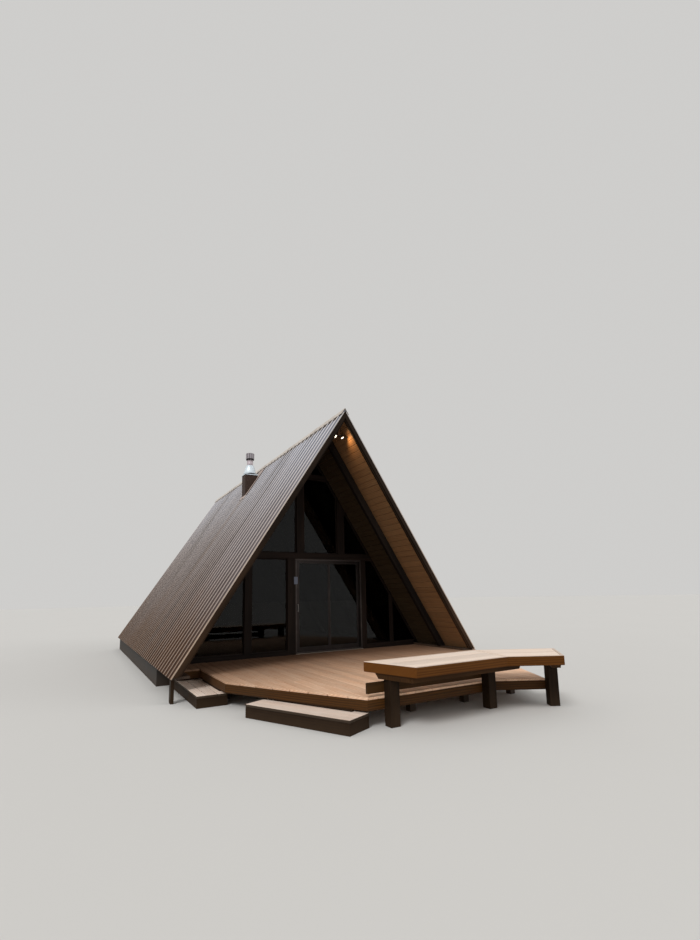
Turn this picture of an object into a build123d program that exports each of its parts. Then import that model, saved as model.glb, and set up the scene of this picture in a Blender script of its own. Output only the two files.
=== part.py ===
from build123d import *
import math
import os

os.makedirs("parts", exist_ok=True)

# A-frame cabin, in millimetres. The front looks along -Y, +X is to the right and the ridge
# runs along Y. The origin is on the ground, under the middle of the glass front wall.

# Roof form. Depths below are measured square to a slope, from the tops of the ribs inwards.
ridgeHeight = 5415.0
roofSlope = 57.2
roofFront = -1900.0
roofRear = 8230.0
eaveHeight = 400.0
ribHeight = 20.0
ribPitch = 228.6
ribBase = 62.0
ribSideAngle = 47.0
panThickness = 4.0
coreDepth = 92.0
liningThickness = 18.0
sheetOverhang = 25.0
ridgeGap = 14.0
capWing = 150.0
capThickness = 3.0

# Barge boards at the two ends of the roof.
bargeThickness = 28.0
bargeDepth = 89.0
subBargeThickness = 38.0
subBargeDepth = 118.0

# Raked rafters under the lining.
rafterDepth = 140.0
rafterThickness = 90.0
outerRafterFront = -1098.0
innerRafterCount = 5

# Floor, foundation and sill plates.
floorHeight = 360.0
floorThickness = 120.0
foundationThickness = 200.0
foundationInset = 72.0
sillPlateWidth = 312.0
rearOverhang = 300.0
rearWallThickness = 140.0
porchPostWidth = 50.0
porchPostDepth = 140.0

# Glass front wall. Heights are above the floor, barDrop is taken down from the ridge.
wallDepth = 140.0
rakeFrameWidth = 15.0
sillHeight = 100.0
beamBottom = 2100.0
beamHeight = 135.0
barDrop = 1065.0
barHeight = 110.0
windowPostX = -1400.0
windowPostWidth = 156.0
doorRakeGap = 317.0
mainPostWidth = 192.0
rightPostWidth = 128.0
sideMullionX = 2280.0
sideMullionWidth = 60.0
upperMullionLeftX = -188.0
upperMullionRightX = 866.0
upperMullionWidth = 190.0
paneThickness = 24.0

# Sliding patio door.
doorWidth = 1725.0
doorFrameWidth = 35.0
doorFrameDepth = 120.0
doorClearance = 5.0
panelThickness = 35.0
panelGap = 15.0
stileWidth = 58.0
bottomRailHeight = 90.0
panelOverlap = 50.0
doorPaneThickness = 20.0
trackHeight = 8.0
trackWidth = 6.0
handleHeight = 1000.0
handleLength = 170.0
handleReach = 42.0
handleBar = 18.0
handleEdge = 18.0
rollerRadius = 12.0
rollerGap = 0.3
noticeWidth = 90.0
noticeHeight = 165.0
noticeLift = 1530.0
noticeThickness = 3.0
noticeOverhang = 50.0

# Deck outline.
deckThickness = 28.0
deckBack = -880.0
deckSideEnd = -2515.0
deckFront = -4720.0
deckBevelAngle = 27.4
deckFrontInset = 2400.0
deckWingAngle = 30.0
deckWingLength = 768.0
deckRightReach = 664.0
fasciaHeight = 127.0
fasciaThickness = 38.0
joistSpacing = 600.0
joistThickness = 45.0
pierSize = 100.0
piersPerRow = 4
pierLeftInset = 200.0
pierRightInset = 300.0

# Steps.
stepHeight = 180.0
stepTopThickness = 38.0
stepBoardThickness = 38.0
stepTuck = 76.0
stepClearance = 30.0
sideStepWidth = 461.0
sideStepFront = -2390.0
sideStepRun = 300.0
frontStepLength = 1720.0
frontStepWidth = 420.0
frontStepShift = 1607.0
frontStepTurn = 2.0
battenInset = 200.0

# Bench along the deck's front edge.
benchHeight = 400.0
benchDepth = 825.0
benchTopThickness = 38.0
benchApronHeight = 89.0
benchApronThickness = 38.0
benchMitre = 15.0
benchBack = -4460.0
benchCornerShift = 68.0
benchShift = 118.0
benchWingLength = 760.0
bearerHeight = 70.0
bearerWidth = 120.0
bearerInset = 20.0
bearerBackInset = 175.0
bearerSlant = 55.0
beamWidth = 90.0
beamInset = 90.0
beamReach = 370.0
benchPostSize = 140.0
postInset = 115.0
railHeight = 130.0
railThickness = 38.0
railLift = 45.0
railOverhang = 250.0

# Chimney on the left slope.
chaseInset = 270.0
chaseWidth = 360.0
chaseFront = 2673.0
chaseLength = 300.0
chaseDrop = 375.0
chaseRim = 14.0
coneHeight = 450.0
coneBaseRadius = 178.0
coneTopRadius = 88.0
coneSkirt = 14.0
collarRadius = 108.0
collarHeight = 22.0
capFlare = 22.0
capRadius = 118.0
capHeight = 180.0
capDome = 26.0

# Twin lamp under the front peak.
lampY = -1590.0
lampDrop = 245.0
lampMountWidth = 56.0
lampMountLength = 90.0
lampPlateRadius = 52.0
lampPlateThickness = 14.0
lampSpread = 78.0
lampNeckRadius = 11.0
lampRadius = 46.0
lampLength = 95.0
lampTilt = 48.0
lampTurn = 24.0
lampTaper = 12.0

slopeSine = math.sin(math.radians(roofSlope))
slopeCosine = math.cos(math.radians(roofSlope))
slopeTangent = math.tan(math.radians(roofSlope))
sheetDepth = ribHeight + panThickness
coreBottom = sheetDepth + coreDepth
liningBottom = coreBottom + liningThickness
rafterBottom = liningBottom + rafterDepth
rakeBottom = liningBottom + rakeFrameWidth
coreFront = roofFront + bargeThickness + subBargeThickness
coreRear = roofRear - bargeThickness
wallFront = -wallDepth / 2
wallRear = wallDepth / 2
rearWallRear = roofRear - rearOverhang
rearWallFront = rearWallRear - rearWallThickness
eaveHalfWidth = (ridgeHeight - eaveHeight) / slopeTangent
foundationOuter = eaveHalfWidth - foundationInset
foundationInner = foundationOuter - foundationThickness
sillPlateInner = eaveHalfWidth - sillPlateWidth
sides = (("left", -1), ("right", 1))


def half_width(depth, height):
    # Half the width between the two slopes at a height, at a depth below the rib tops.
    return (ridgeHeight - height) / slopeTangent - depth / slopeSine


def peak_height(depth):
    # Height of the ridge line at a depth below the rib tops.
    return ridgeHeight - depth / slopeCosine


def across(rear):
    # An upright plane across the cabin, its sketches extruded from here towards the front.
    return Plane.XZ.offset(-rear)


def save(builder, name):
    builder.part.label = name
    export_step(builder.part, f"parts/{name}.step")


def slope_outline(side, outer, inner, foot):
    # One layer of a slope as seen from the front, from its level foot up to the ridge line.
    with BuildLine() as outline:
        Polyline(
            (0, peak_height(outer)),
            (side * half_width(outer, foot), foot),
            (side * half_width(inner, foot), foot),
            (0, peak_height(inner)),
            close=True,
        )
    make_face(outline.edges())


def gable_outline(depth, foot, mode=Mode.ADD):
    # The triangle between the two slopes above a level line.
    with BuildLine() as outline:
        Polyline(
            (-half_width(depth, foot), foot),
            (half_width(depth, foot), foot),
            (0, peak_height(depth)),
            close=True,
        )
    make_face(outline.edges(), mode=mode)


def panel(left, right, bottom, top, mode=Mode.ADD):
    # An upright rectangle on a plane across the cabin.
    with Locations(((left + right) / 2, (bottom + top) / 2)):
        Rectangle(right - left, top - bottom, mode=mode)


# Foundation walls, sill plates and floor.
with BuildPart() as foundation_sides:
    with BuildSketch(across(roofRear - foundationInset)):
        for name, side in sides:
            edges = sorted((side * foundationInner, side * foundationOuter))
            panel(edges[0], edges[1], 0, floorHeight)
    extrude(amount=roofRear - foundationInset - wallFront)
save(foundation_sides, "foundation_sides")

with BuildPart() as foundation_ends:
    for rear, length in ((wallRear, wallDepth), (rearWallRear, rearWallThickness)):
        with BuildSketch(across(rear)):
            panel(-foundationInner, foundationInner, 0, floorHeight)
        extrude(amount=length)
save(foundation_ends, "foundation_ends")

with BuildPart() as sill_plates:
    with BuildSketch(across(coreRear)):
        for name, side in sides:
            edges = sorted((side * sillPlateInner, side * half_width(sheetDepth, eaveHeight)))
            panel(edges[0], edges[1], floorHeight, eaveHeight)
    extrude(amount=coreRear - coreFront)
save(sill_plates, "sill_plates")

# The porch roof reaches past the foundation. Its left foot stands on a short post, the right
# one bears on the deck.
plateOuter = half_width(sheetDepth, eaveHeight)
with BuildPart() as porch_post:
    with BuildSketch(across(coreFront + porchPostDepth)):
        panel(-plateOuter, porchPostWidth - plateOuter, 0, floorHeight)
    extrude(amount=porchPostDepth)
save(porch_post, "porch_post")

with BuildPart() as floor:
    with BuildSketch(across(rearWallFront)):
        panel(-foundationInner, foundationInner, floorHeight - floorThickness, floorHeight)
    extrude(amount=rearWallFront - wallRear)
save(floor, "floor")

# Roof slopes: core, boarded lining, ribbed sheet, barge boards and rafters.
innerRafterStep = (rearWallFront - wallRear) / (innerRafterCount + 1)
rafterRears = [outerRafterFront + rafterThickness]
rafterRears += [wallRear + innerRafterStep * (i + 1) for i in range(innerRafterCount)]
roofLength = roofRear - roofFront
ribCount = int(roofLength // ribPitch)
sheetStart = ridgeGap
sheetEnd = (peak_height(ribHeight) - eaveHeight) / slopeSine + sheetOverhang

for name, side in sides:
    with BuildPart() as core:
        with BuildSketch(across(coreRear)):
            slope_outline(side, sheetDepth, coreBottom, eaveHeight)
        extrude(amount=coreRear - coreFront)
    save(core, f"{name}_roof_core")

    with BuildPart() as lining:
        with BuildSketch(across(coreRear)):
            slope_outline(side, coreBottom, liningBottom, eaveHeight)
        extrude(amount=coreRear - coreFront)
    save(lining, f"{name}_lining")

    # The sheet is drawn end on at the ridge and run down the slope. Its pan and ribs follow Y.
    down = Vector(side * slopeCosine, 0, -slopeSine)
    out = Vector(side * slopeSine, 0, slopeCosine)
    middle = (roofFront + roofRear) / 2
    origin = Vector(0, middle, ridgeHeight) - out * ribHeight + down * (ribHeight * slopeTangent)
    sheetPlane = Plane(origin=origin + down * sheetStart, x_dir=(0, side, 0), z_dir=down)
    with BuildPart() as cladding:
        with BuildSketch(sheetPlane):
            with Locations((0, -panThickness / 2)):
                Rectangle(roofLength, panThickness)
            with GridLocations(ribPitch, 0, ribCount, 1):
                Trapezoid(ribBase, ribHeight, ribSideAngle, align=(Align.CENTER, Align.MIN))
        extrude(amount=sheetEnd - sheetStart)
    save(cladding, f"{name}_cladding")

    with BuildPart() as barge:
        with BuildSketch(across(roofFront + bargeThickness)):
            slope_outline(side, sheetDepth, sheetDepth + bargeDepth, eaveHeight)
        extrude(amount=bargeThickness)
        with BuildSketch(across(coreFront)):
            slope_outline(side, sheetDepth, sheetDepth + subBargeDepth, eaveHeight)
        extrude(amount=subBargeThickness)
    save(barge, f"front_{name}_barge_board")

    with BuildPart() as rear_barge:
        with BuildSketch(across(roofRear)):
            slope_outline(side, sheetDepth, sheetDepth + bargeDepth, eaveHeight)
        extrude(amount=bargeThickness)
    save(rear_barge, f"rear_{name}_barge_board")

    with BuildPart() as rafters:
        for rear in rafterRears:
            with BuildSketch(across(rear)):
                slope_outline(side, liningBottom, rafterBottom, eaveHeight)
            extrude(amount=rafterThickness)
    save(rafters, f"{name}_rafters")

    with BuildPart() as rake_frame:
        with BuildSketch(across(wallRear)):
            slope_outline(side, liningBottom, rakeBottom, eaveHeight)
        extrude(amount=wallDepth)
    save(rake_frame, f"{name}_rake_frame")

# The cap is a folded strip that lies on the rib tops at both sides of the ridge.
capFoot = ridgeHeight - capWing * slopeSine
with BuildPart() as ridge_cap:
    with BuildSketch(across(roofRear)):
        gable_outline(-capThickness, capFoot)
        gable_outline(0, capFoot, mode=Mode.SUBTRACT)
    extrude(amount=roofLength)
save(ridge_cap, "ridge_cap")

# Rear gable wall, set in from the end of the roof.
with BuildPart() as rear_wall:
    with BuildSketch(across(rearWallRear)):
        gable_outline(liningBottom, eaveHeight)
        panel(-sillPlateInner, sillPlateInner, floorHeight, eaveHeight)
    extrude(amount=rearWallThickness)
save(rear_wall, "rear_wall")

# Glass front wall: each member is an upright rectangle cut off at the raked frames.
sillTop = floorHeight + sillHeight
beamLow = floorHeight + beamBottom
beamTop = beamLow + beamHeight
barLow = ridgeHeight - barDrop
barTop = barLow + barHeight
rakeReach = half_width(rakeBottom, floorHeight)
doorRight = half_width(rakeBottom, beamLow) - doorRakeGap
doorLeft = doorRight - doorWidth
mainPostRight = doorLeft
rightPostRight = doorRight + rightPostWidth
mainPostLeft = mainPostRight - mainPostWidth


def centred(middle, width):
    return middle - width / 2, middle + width / 2


leftPost = centred(windowPostX, windowPostWidth)
sideMullion = centred(sideMullionX, sideMullionWidth)
upperMullions = (centred(upperMullionLeftX, upperMullionWidth),
                 centred(upperMullionRightX, upperMullionWidth))


def wall_member(name, rectangles):
    with BuildPart() as member:
        with BuildSketch(across(wallRear)):
            for rectangle in rectangles:
                panel(*rectangle)
            gable_outline(rakeBottom, floorHeight, mode=Mode.INTERSECT)
        extrude(amount=wallDepth)
    save(member, name)


wall_member("facade_beam", [(-rakeReach, rakeReach, beamLow, beamTop)])
wall_member("upper_bar", [(-rakeReach, rakeReach, barLow, barTop)])
wall_member("lower_posts", [(mainPostLeft, mainPostRight, floorHeight, beamLow),
                            (doorRight, rightPostRight, floorHeight, beamLow),
                            (leftPost[0], leftPost[1], sillTop, beamLow),
                            (sideMullion[0], sideMullion[1], sillTop, beamLow)])
wall_member("upper_mullions", [(left, right, beamTop, barLow) for left, right in upperMullions])
wall_member("window_sills", [(-sillPlateInner, mainPostLeft, floorHeight, sillTop),
                             (rightPostRight, sillPlateInner, floorHeight, sillTop)])


def glazing(name, bottom, top, gaps):
    # The panes between two levels: the wall's triangle without the members that stand in it.
    with BuildPart() as panes:
        with BuildSketch(across(paneThickness / 2)):
            gable_outline(rakeBottom, bottom)
            panel(-rakeReach, rakeReach, bottom, top, mode=Mode.INTERSECT)
            for left, right, low, high in gaps:
                panel(left, right, low, high, mode=Mode.SUBTRACT)
        extrude(amount=paneThickness)
    save(panes, name)


glazing("lower_panes", sillTop, beamLow, [(leftPost[0], leftPost[1], sillTop, beamLow),
                                          (mainPostLeft, rightPostRight, sillTop, beamLow),
                                          (sideMullion[0], sideMullion[1], sillTop, beamLow)])
upperGaps = [(left, right, beamTop, barLow) for left, right in upperMullions]
upperGaps.append((-rakeReach, rakeReach, barLow, barTop))
glazing("upper_panes", beamTop, peak_height(rakeBottom), upperGaps)

# Sliding patio door: the left leaf runs in the outer track, the right leaf is fixed.
frameInnerLeft = doorLeft + doorFrameWidth
frameInnerRight = doorRight - doorFrameWidth
frameInnerBottom = floorHeight + doorFrameWidth
frameInnerTop = beamLow - doorFrameWidth
trackTop = frameInnerBottom + trackHeight
slidingFront = -panelGap / 2 - panelThickness
fixedFront = panelGap / 2
clearWidth = frameInnerRight - frameInnerLeft
leafWidth = (clearWidth + panelOverlap) / 2
slidingLeft = frameInnerLeft + doorClearance
slidingRight = frameInnerLeft + leafWidth
fixedLeft = frameInnerRight - leafWidth
leafTop = frameInnerTop - doorClearance
leafBottom = trackTop + doorClearance

with BuildPart() as door_frame:
    with BuildSketch(across(doorFrameDepth / 2)):
        panel(doorLeft, doorRight, floorHeight, beamLow)
        panel(frameInnerLeft, frameInnerRight, frameInnerBottom, frameInnerTop, mode=Mode.SUBTRACT)
    extrude(amount=doorFrameDepth)
    for trackMiddle in (slidingFront + panelThickness / 2, fixedFront + panelThickness / 2):
        with BuildSketch(across(trackMiddle + trackWidth / 2)):
            panel(frameInnerLeft, frameInnerRight, frameInnerBottom, trackTop)
        extrude(amount=trackWidth)
save(door_frame, "door_frame")


def leaf(name, left, right, bottom, top, front, rollers):
    # A door leaf: two stiles, a top rail and a deeper bottom rail round one pane.
    with BuildPart() as frame:
        with BuildSketch(across(front + panelThickness)):
            panel(left, right, bottom, top)
            panel(left + stileWidth, right - stileWidth, bottom + bottomRailHeight, top - stileWidth,
                  mode=Mode.SUBTRACT)
        extrude(amount=panelThickness)
        if rollers:
            # Each wheel sits half inside the bottom rail and runs just clear of the track.
            axleHeight = trackTop + rollerGap + rollerRadius
            with BuildSketch(across(front + (panelThickness + trackWidth) / 2)):
                with Locations((left + stileWidth, axleHeight), (right - stileWidth, axleHeight)):
                    Circle(rollerRadius)
            extrude(amount=trackWidth)
    save(frame, f"{name}_frame")
    paneRear = front + (panelThickness + doorPaneThickness) / 2
    with BuildPart() as pane:
        with BuildSketch(across(paneRear)):
            panel(left + stileWidth, right - stileWidth, bottom + bottomRailHeight, top - stileWidth)
        extrude(amount=doorPaneThickness)
    save(pane, f"{name}_glass")


leaf("sliding_door", slidingLeft, slidingRight, leafBottom, leafTop, slidingFront, True)
leaf("fixed_door", fixedLeft, frameInnerRight, trackTop, frameInnerTop, fixedFront, False)

# The pull handle: a bar on two stand-offs, on the sliding leaf's outer stile.
handleMiddle = slidingLeft + handleEdge
with BuildPart() as sliding_door_handle:
    with BuildSketch(across(slidingFront)):
        for end in (-1, 1):
            middle = floorHeight + handleHeight + end * (handleLength - handleBar) / 2
            panel(handleMiddle - handleBar / 2, handleMiddle + handleBar / 2,
                  middle - handleBar / 2, middle + handleBar / 2)
    extrude(amount=handleReach - handleBar)
    with BuildSketch(across(slidingFront - handleReach + handleBar)):
        panel(handleMiddle - handleBar / 2, handleMiddle + handleBar / 2,
              floorHeight + handleHeight - handleLength / 2, floorHeight + handleHeight + handleLength / 2)
    extrude(amount=handleBar)
save(sliding_door_handle, "sliding_door_handle")

# A bare plate on the main post, standing a little past the post's edge.
noticeRight = mainPostRight + noticeOverhang
noticeLow = floorHeight + noticeLift
with BuildPart() as notice_plate:
    with BuildSketch(across(wallFront)):
        panel(noticeRight - noticeWidth, noticeRight, noticeLow, noticeLow + noticeHeight)
    extrude(amount=noticeThickness)
save(notice_plate, "notice_plate")

# Deck: boards over a fascia that follows the outline, on joists and short piers.
deckLeft = -(foundationInner - stepClearance - sideStepWidth + stepTuck)
bevelEndX = deckLeft + (deckSideEnd - deckFront) * math.tan(math.radians(deckBevelAngle))
deckFrontRight = foundationOuter - deckFrontInset
wingEndX = deckFrontRight + deckWingLength * math.cos(math.radians(deckWingAngle))
wingEndY = deckFront - deckWingLength * math.sin(math.radians(deckWingAngle))
deckRight = foundationOuter + deckRightReach
rightEdgeRun = (deckRight - wingEndX) / (deckBack - wingEndY)
deckCorners = [
    Vector(-foundationInner, wallFront),
    Vector(-foundationInner, deckBack),
    Vector(deckLeft, deckBack),
    Vector(deckLeft, deckSideEnd),
    Vector(bevelEndX, deckFront),
    Vector(deckFrontRight, deckFront),
    Vector(wingEndX, wingEndY),
    Vector(deckRight, deckBack),
    Vector(foundationInner, deckBack),
    Vector(foundationInner, wallFront),
]


def deck_outline(mode=Mode.ADD):
    with BuildLine() as outline:
        Polyline(*deckCorners, close=True)
    make_face(outline.edges(), mode=mode)


def open_edges():
    # A band just inside every edge of the outline but the one against the house.
    for start, end in zip(deckCorners, deckCorners[1:]):
        run = end - start
        turn = math.degrees(math.atan2(run.Y, run.X))
        with Locations((start + end) / 2):
            Rectangle(run.length + 2 * fasciaThickness, 2 * fasciaThickness, rotation=turn)
    deck_outline(mode=Mode.INTERSECT)


deckUnder = floorHeight - deckThickness
fasciaBottom = deckUnder - fasciaHeight
with BuildPart() as deck_fascia:
    with BuildSketch(Plane.XY.offset(fasciaBottom)):
        open_edges()
    extrude(amount=fasciaHeight)
save(deck_fascia, "deck_fascia")

with BuildPart() as deck_boards:
    with BuildSketch(Plane.XY.offset(deckUnder)):
        deck_outline()
    extrude(amount=deckThickness)
save(deck_boards, "deck_boards")

joistCount = int((wallFront - wingEndY) // joistSpacing) + 1
deckWidth = deckRight - deckLeft + foundationInner
with BuildPart() as deck_joists:
    with BuildSketch(Plane.XY.offset(fasciaBottom)):
        deck_outline()
        with BuildSketch(mode=Mode.PRIVATE) as band:
            open_edges()
        add(band.sketch, mode=Mode.SUBTRACT)
        with BuildSketch(mode=Mode.PRIVATE) as rows:
            for i in range(joistCount):
                with Locations((0, wallFront - joistThickness / 2 - i * joistSpacing)):
                    Rectangle(2 * deckWidth, joistThickness)
        add(rows.sketch, mode=Mode.INTERSECT)
    extrude(amount=fasciaHeight)
save(deck_joists, "deck_joists")

pierRows = range(1, joistCount - 1, 2)
with BuildPart() as deck_piers:
    with BuildSketch(Plane.XY):
        for i in pierRows:
            rowY = wallFront - joistThickness / 2 - i * joistSpacing
            along = max(0.0, deckSideEnd - rowY)
            rowLeft = deckLeft + along * math.tan(math.radians(deckBevelAngle)) + pierLeftInset
            rowRight = deckRight - (deckBack - rowY) * rightEdgeRun - pierRightInset
            if rowY > deckBack:
                rowRight = foundationInner - pierSize
            with Locations(((rowLeft + rowRight) / 2, rowY)):
                with GridLocations((rowRight - rowLeft) / (piersPerRow - 1), 0, piersPerRow, 1):
                    Rectangle(pierSize, pierSize)
    extrude(amount=fasciaBottom)
save(deck_piers, "deck_piers")

# Steps: a board box open below. The back is tucked under the fascia, and a batten along it
# closes the gap between the two.
def step(name, place, length, width, battenLength, battenShift):
    with BuildPart() as box:
        with BuildSketch(place):
            Rectangle(width, length)
            Rectangle(width - 2 * stepBoardThickness, length - 2 * stepBoardThickness, mode=Mode.SUBTRACT)
        extrude(amount=stepHeight - stepTopThickness)
        with BuildSketch(place.offset(stepHeight - stepTopThickness)):
            Rectangle(width, length)
        extrude(amount=stepTopThickness)
        with BuildSketch(place.offset(stepHeight)):
            with Locations((stepTuck - (width + fasciaThickness) / 2, battenShift)):
                Rectangle(fasciaThickness, battenLength)
        extrude(amount=fasciaBottom - stepHeight)
    save(box, name)


sideStepLength = deckBack + sideStepRun - sideStepFront
sideStepX = deckLeft + stepTuck - sideStepWidth / 2
sideStepMiddle = Vector(sideStepX, sideStepFront + sideStepLength / 2, 0)
sideStepPlane = Plane(origin=sideStepMiddle, x_dir=(-1, 0, 0), z_dir=(0, 0, 1))
sideBatten = deckBack - sideStepFront - 2 * battenInset
sideBattenShift = (sideStepLength - sideBatten) / 2 - battenInset
step("side_step", sideStepPlane, sideStepLength, sideStepWidth, sideBatten, sideBattenShift)

# The front step lies along the deck's bevelled edge, turned a little out of line with it.
bevel = math.radians(deckBevelAngle)
bevelAlong = Vector(math.sin(bevel), -math.cos(bevel), 0)
bevelOut = Vector(-math.cos(bevel), -math.sin(bevel), 0)
frontStepCentre = (Vector(deckLeft, deckSideEnd, 0) + bevelAlong * frontStepShift
                   + bevelOut * (frontStepWidth / 2 - stepTuck))
frontStepPlane = Plane(origin=frontStepCentre, x_dir=bevelOut.rotate(Axis.Z, -frontStepTurn), z_dir=(0, 0, 1))
step("front_step", frontStepPlane, frontStepLength, frontStepWidth, frontStepLength - 2 * battenInset, 0)

# Bench: two mitred box tops in line with the deck's front edge and wing.
benchTop = floorHeight + benchHeight
benchUnder = benchTop - benchTopThickness - benchApronHeight
benchBackLeft = bevelEndX + benchShift
benchBackLength = deckFrontRight - benchCornerShift - benchBackLeft
mitre = math.radians(benchMitre)
mitreRun = benchDepth * math.tan(mitre)
wingTurn = math.radians(2 * benchMitre)
cornerBack = Vector(benchBackLeft + benchBackLength, benchBack, 0)
wingAlong = Vector(math.cos(wingTurn), -math.sin(wingTurn), 0)
benchPlane = Plane(origin=(benchBackLeft, benchBack, 0))
wingPlane = Plane(origin=cornerBack, x_dir=wingAlong, z_dir=(0, 0, 1))


def bench_outline(length):
    with BuildLine() as outline:
        Polyline((0, 0), (length, 0), (length - mitreRun, -benchDepth), (mitreRun, -benchDepth), close=True)
    make_face(outline.edges())


def bench_top(name, place, length):
    with BuildPart() as top:
        with BuildSketch(place.offset(benchUnder)):
            bench_outline(length)
            offset(amount=-benchApronThickness, mode=Mode.SUBTRACT)
        extrude(amount=benchApronHeight)
        with BuildSketch(place.offset(benchUnder + benchApronHeight)):
            bench_outline(length)
        extrude(amount=benchTopThickness)
    save(top, name)


bench_top("bench_top", benchPlane, benchBackLength)
bench_top("bench_wing_top", wingPlane, benchWingLength + 2 * mitreRun)

# Bearers cross under the tops at the two ends and at the mitre, each with a slanted back end.
# A beam along the front carries on past the mitre and ends in a slant too.
bearerLow = benchUnder - bearerHeight
wingSide = Vector(-math.sin(wingTurn), -math.cos(wingTurn), 0)
wingBackLength = benchWingLength + 2 * mitreRun
backCorners = (Vector(benchBackLeft, benchBack, 0), cornerBack, cornerBack + wingAlong * wingBackLength)
bearerShift = bearerInset + bearerWidth / 2
beamFront = benchBack - benchDepth + beamInset
beamMiddle = beamFront + beamWidth / 2
beamLeft = benchBackLeft + (benchBack - beamFront) * math.tan(mitre) + bearerInset
beamRight = cornerBack.X - mitreRun + beamReach


def slanted_bar(start, end, backSlant, frontSlant):
    # The side view of a bar whose upper edge runs on past its slanted ends.
    with BuildLine() as outline:
        Polyline(
            (start, benchUnder),
            (end, benchUnder),
            (end - frontSlant, bearerLow),
            (start + backSlant, bearerLow),
            close=True,
        )
    make_face(outline.edges())


with BuildPart() as bench_bearers:
    for corner, turn, shift in zip(backCorners, (mitre, -mitre, -3 * mitre), (bearerShift, 0, -bearerShift)):
        along = Vector(math.sin(turn), -math.cos(turn), 0)
        square = Vector(math.cos(turn), math.sin(turn), 0)
        start = corner + square * shift
        atWingEnd = corner is backCorners[2]
        toBeam = (start.Y - beamMiddle) / math.cos(turn)
        toEdge = benchDepth / math.cos(mitre) - bearerBackInset
        with BuildSketch(Plane(origin=start, x_dir=along, z_dir=-square)):
            slanted_bar(bearerBackInset, toEdge if atWingEnd else toBeam, bearerSlant,
                        bearerSlant if atWingEnd else 0)
        extrude(amount=bearerWidth / 2, both=True)
    with BuildSketch(across(beamFront + beamWidth)):
        slanted_bar(beamLeft, beamRight, 0, bearerSlant)
    extrude(amount=beamWidth)
save(bench_bearers, "bench_bearers")

# The posts stand against the deck's edge, the rail lies behind the first two of them.
postY = deckFront - benchPostSize / 2
postRun = (benchBack - postY) * math.tan(mitre)
leftPostX = benchBackLeft + postRun + postInset
cornerPostX = cornerBack.X - postRun
wingDrop = (Vector(deckFrontRight, deckFront, 0) - cornerBack).dot(wingSide) + benchPostSize / 2
wingPostAlong = wingBackLength - wingDrop * math.tan(mitre) - postInset
wingPostAt = cornerBack + wingAlong * wingPostAlong + wingSide * wingDrop
with BuildPart() as bench_posts:
    with BuildSketch(Plane.XY):
        with Locations((leftPostX, postY), (cornerPostX, postY)):
            Rectangle(benchPostSize, benchPostSize)
    with BuildSketch(Plane(origin=wingPostAt, x_dir=wingAlong, z_dir=(0, 0, 1))):
        Rectangle(benchPostSize, benchPostSize)
    extrude(amount=bearerLow)
save(bench_posts, "bench_posts")

with BuildPart() as bench_rail:
    with BuildSketch(across(deckFront + railThickness)):
        panel(leftPostX - benchPostSize / 2 - railOverhang, cornerPostX + benchPostSize / 2,
              floorHeight + railLift, floorHeight + railLift + railHeight)
    extrude(amount=railThickness)
save(bench_rail, "bench_rail")

# Chimney: a chase on the slope, a cone on its rim and a round cap.
chaseRight = -chaseInset
chaseLeft = chaseRight - chaseWidth
chaseRear = chaseFront + chaseLength
chaseTop = ridgeHeight - chaseDrop
chaseMiddle = Vector((chaseLeft + chaseRight) / 2, (chaseFront + chaseRear) / 2, chaseTop)
with BuildPart() as chimney_chase:
    with BuildSketch(across(chaseRear)):
        with BuildLine() as outline:
            Polyline(
                (chaseLeft, ridgeHeight + chaseLeft * slopeTangent),
                (chaseRight, ridgeHeight + chaseRight * slopeTangent),
                (chaseRight, chaseTop),
                (chaseLeft, chaseTop),
                close=True,
            )
        make_face(outline.edges())
    extrude(amount=chaseLength)
save(chimney_chase, "chimney_chase")

conePlane = Plane(origin=chaseMiddle, x_dir=(1, 0, 0), z_dir=(0, -1, 0))
with BuildPart() as chimney_cone:
    with BuildSketch(Plane.XY.offset(chaseTop)):
        with Locations((chaseMiddle.X, chaseMiddle.Y)):
            Rectangle(chaseWidth + 2 * chaseRim, chaseLength + 2 * chaseRim)
    extrude(amount=chaseRim)
    with BuildSketch(conePlane):
        with BuildLine():
            Polyline(
                (0, chaseRim),
                (coneBaseRadius, chaseRim),
                (coneBaseRadius, chaseRim + coneSkirt),
                (coneTopRadius, chaseRim + coneHeight),
                (0, chaseRim + coneHeight),
                close=True,
            )
        make_face()
    revolve(axis=Axis(chaseMiddle, (0, 0, 1)))
save(chimney_cone, "chimney_cone")

capBase = chaseRim + coneHeight
with BuildPart() as chimney_cap:
    with BuildSketch(conePlane):
        with BuildLine():
            Polyline(
                (0, capBase),
                (collarRadius, capBase),
                (collarRadius, capBase + collarHeight),
                (capRadius, capBase + collarHeight + capFlare),
                (capRadius, capBase + capHeight),
            )
            TangentArc((0, capBase + capHeight + capDome), (capRadius, capBase + capHeight), tangent=(1, 0))
            Line((0, capBase + capHeight + capDome), (0, capBase))
        make_face()
    revolve(axis=Axis(chaseMiddle, (0, 0, 1)))
save(chimney_cap, "chimney_cap")

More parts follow.
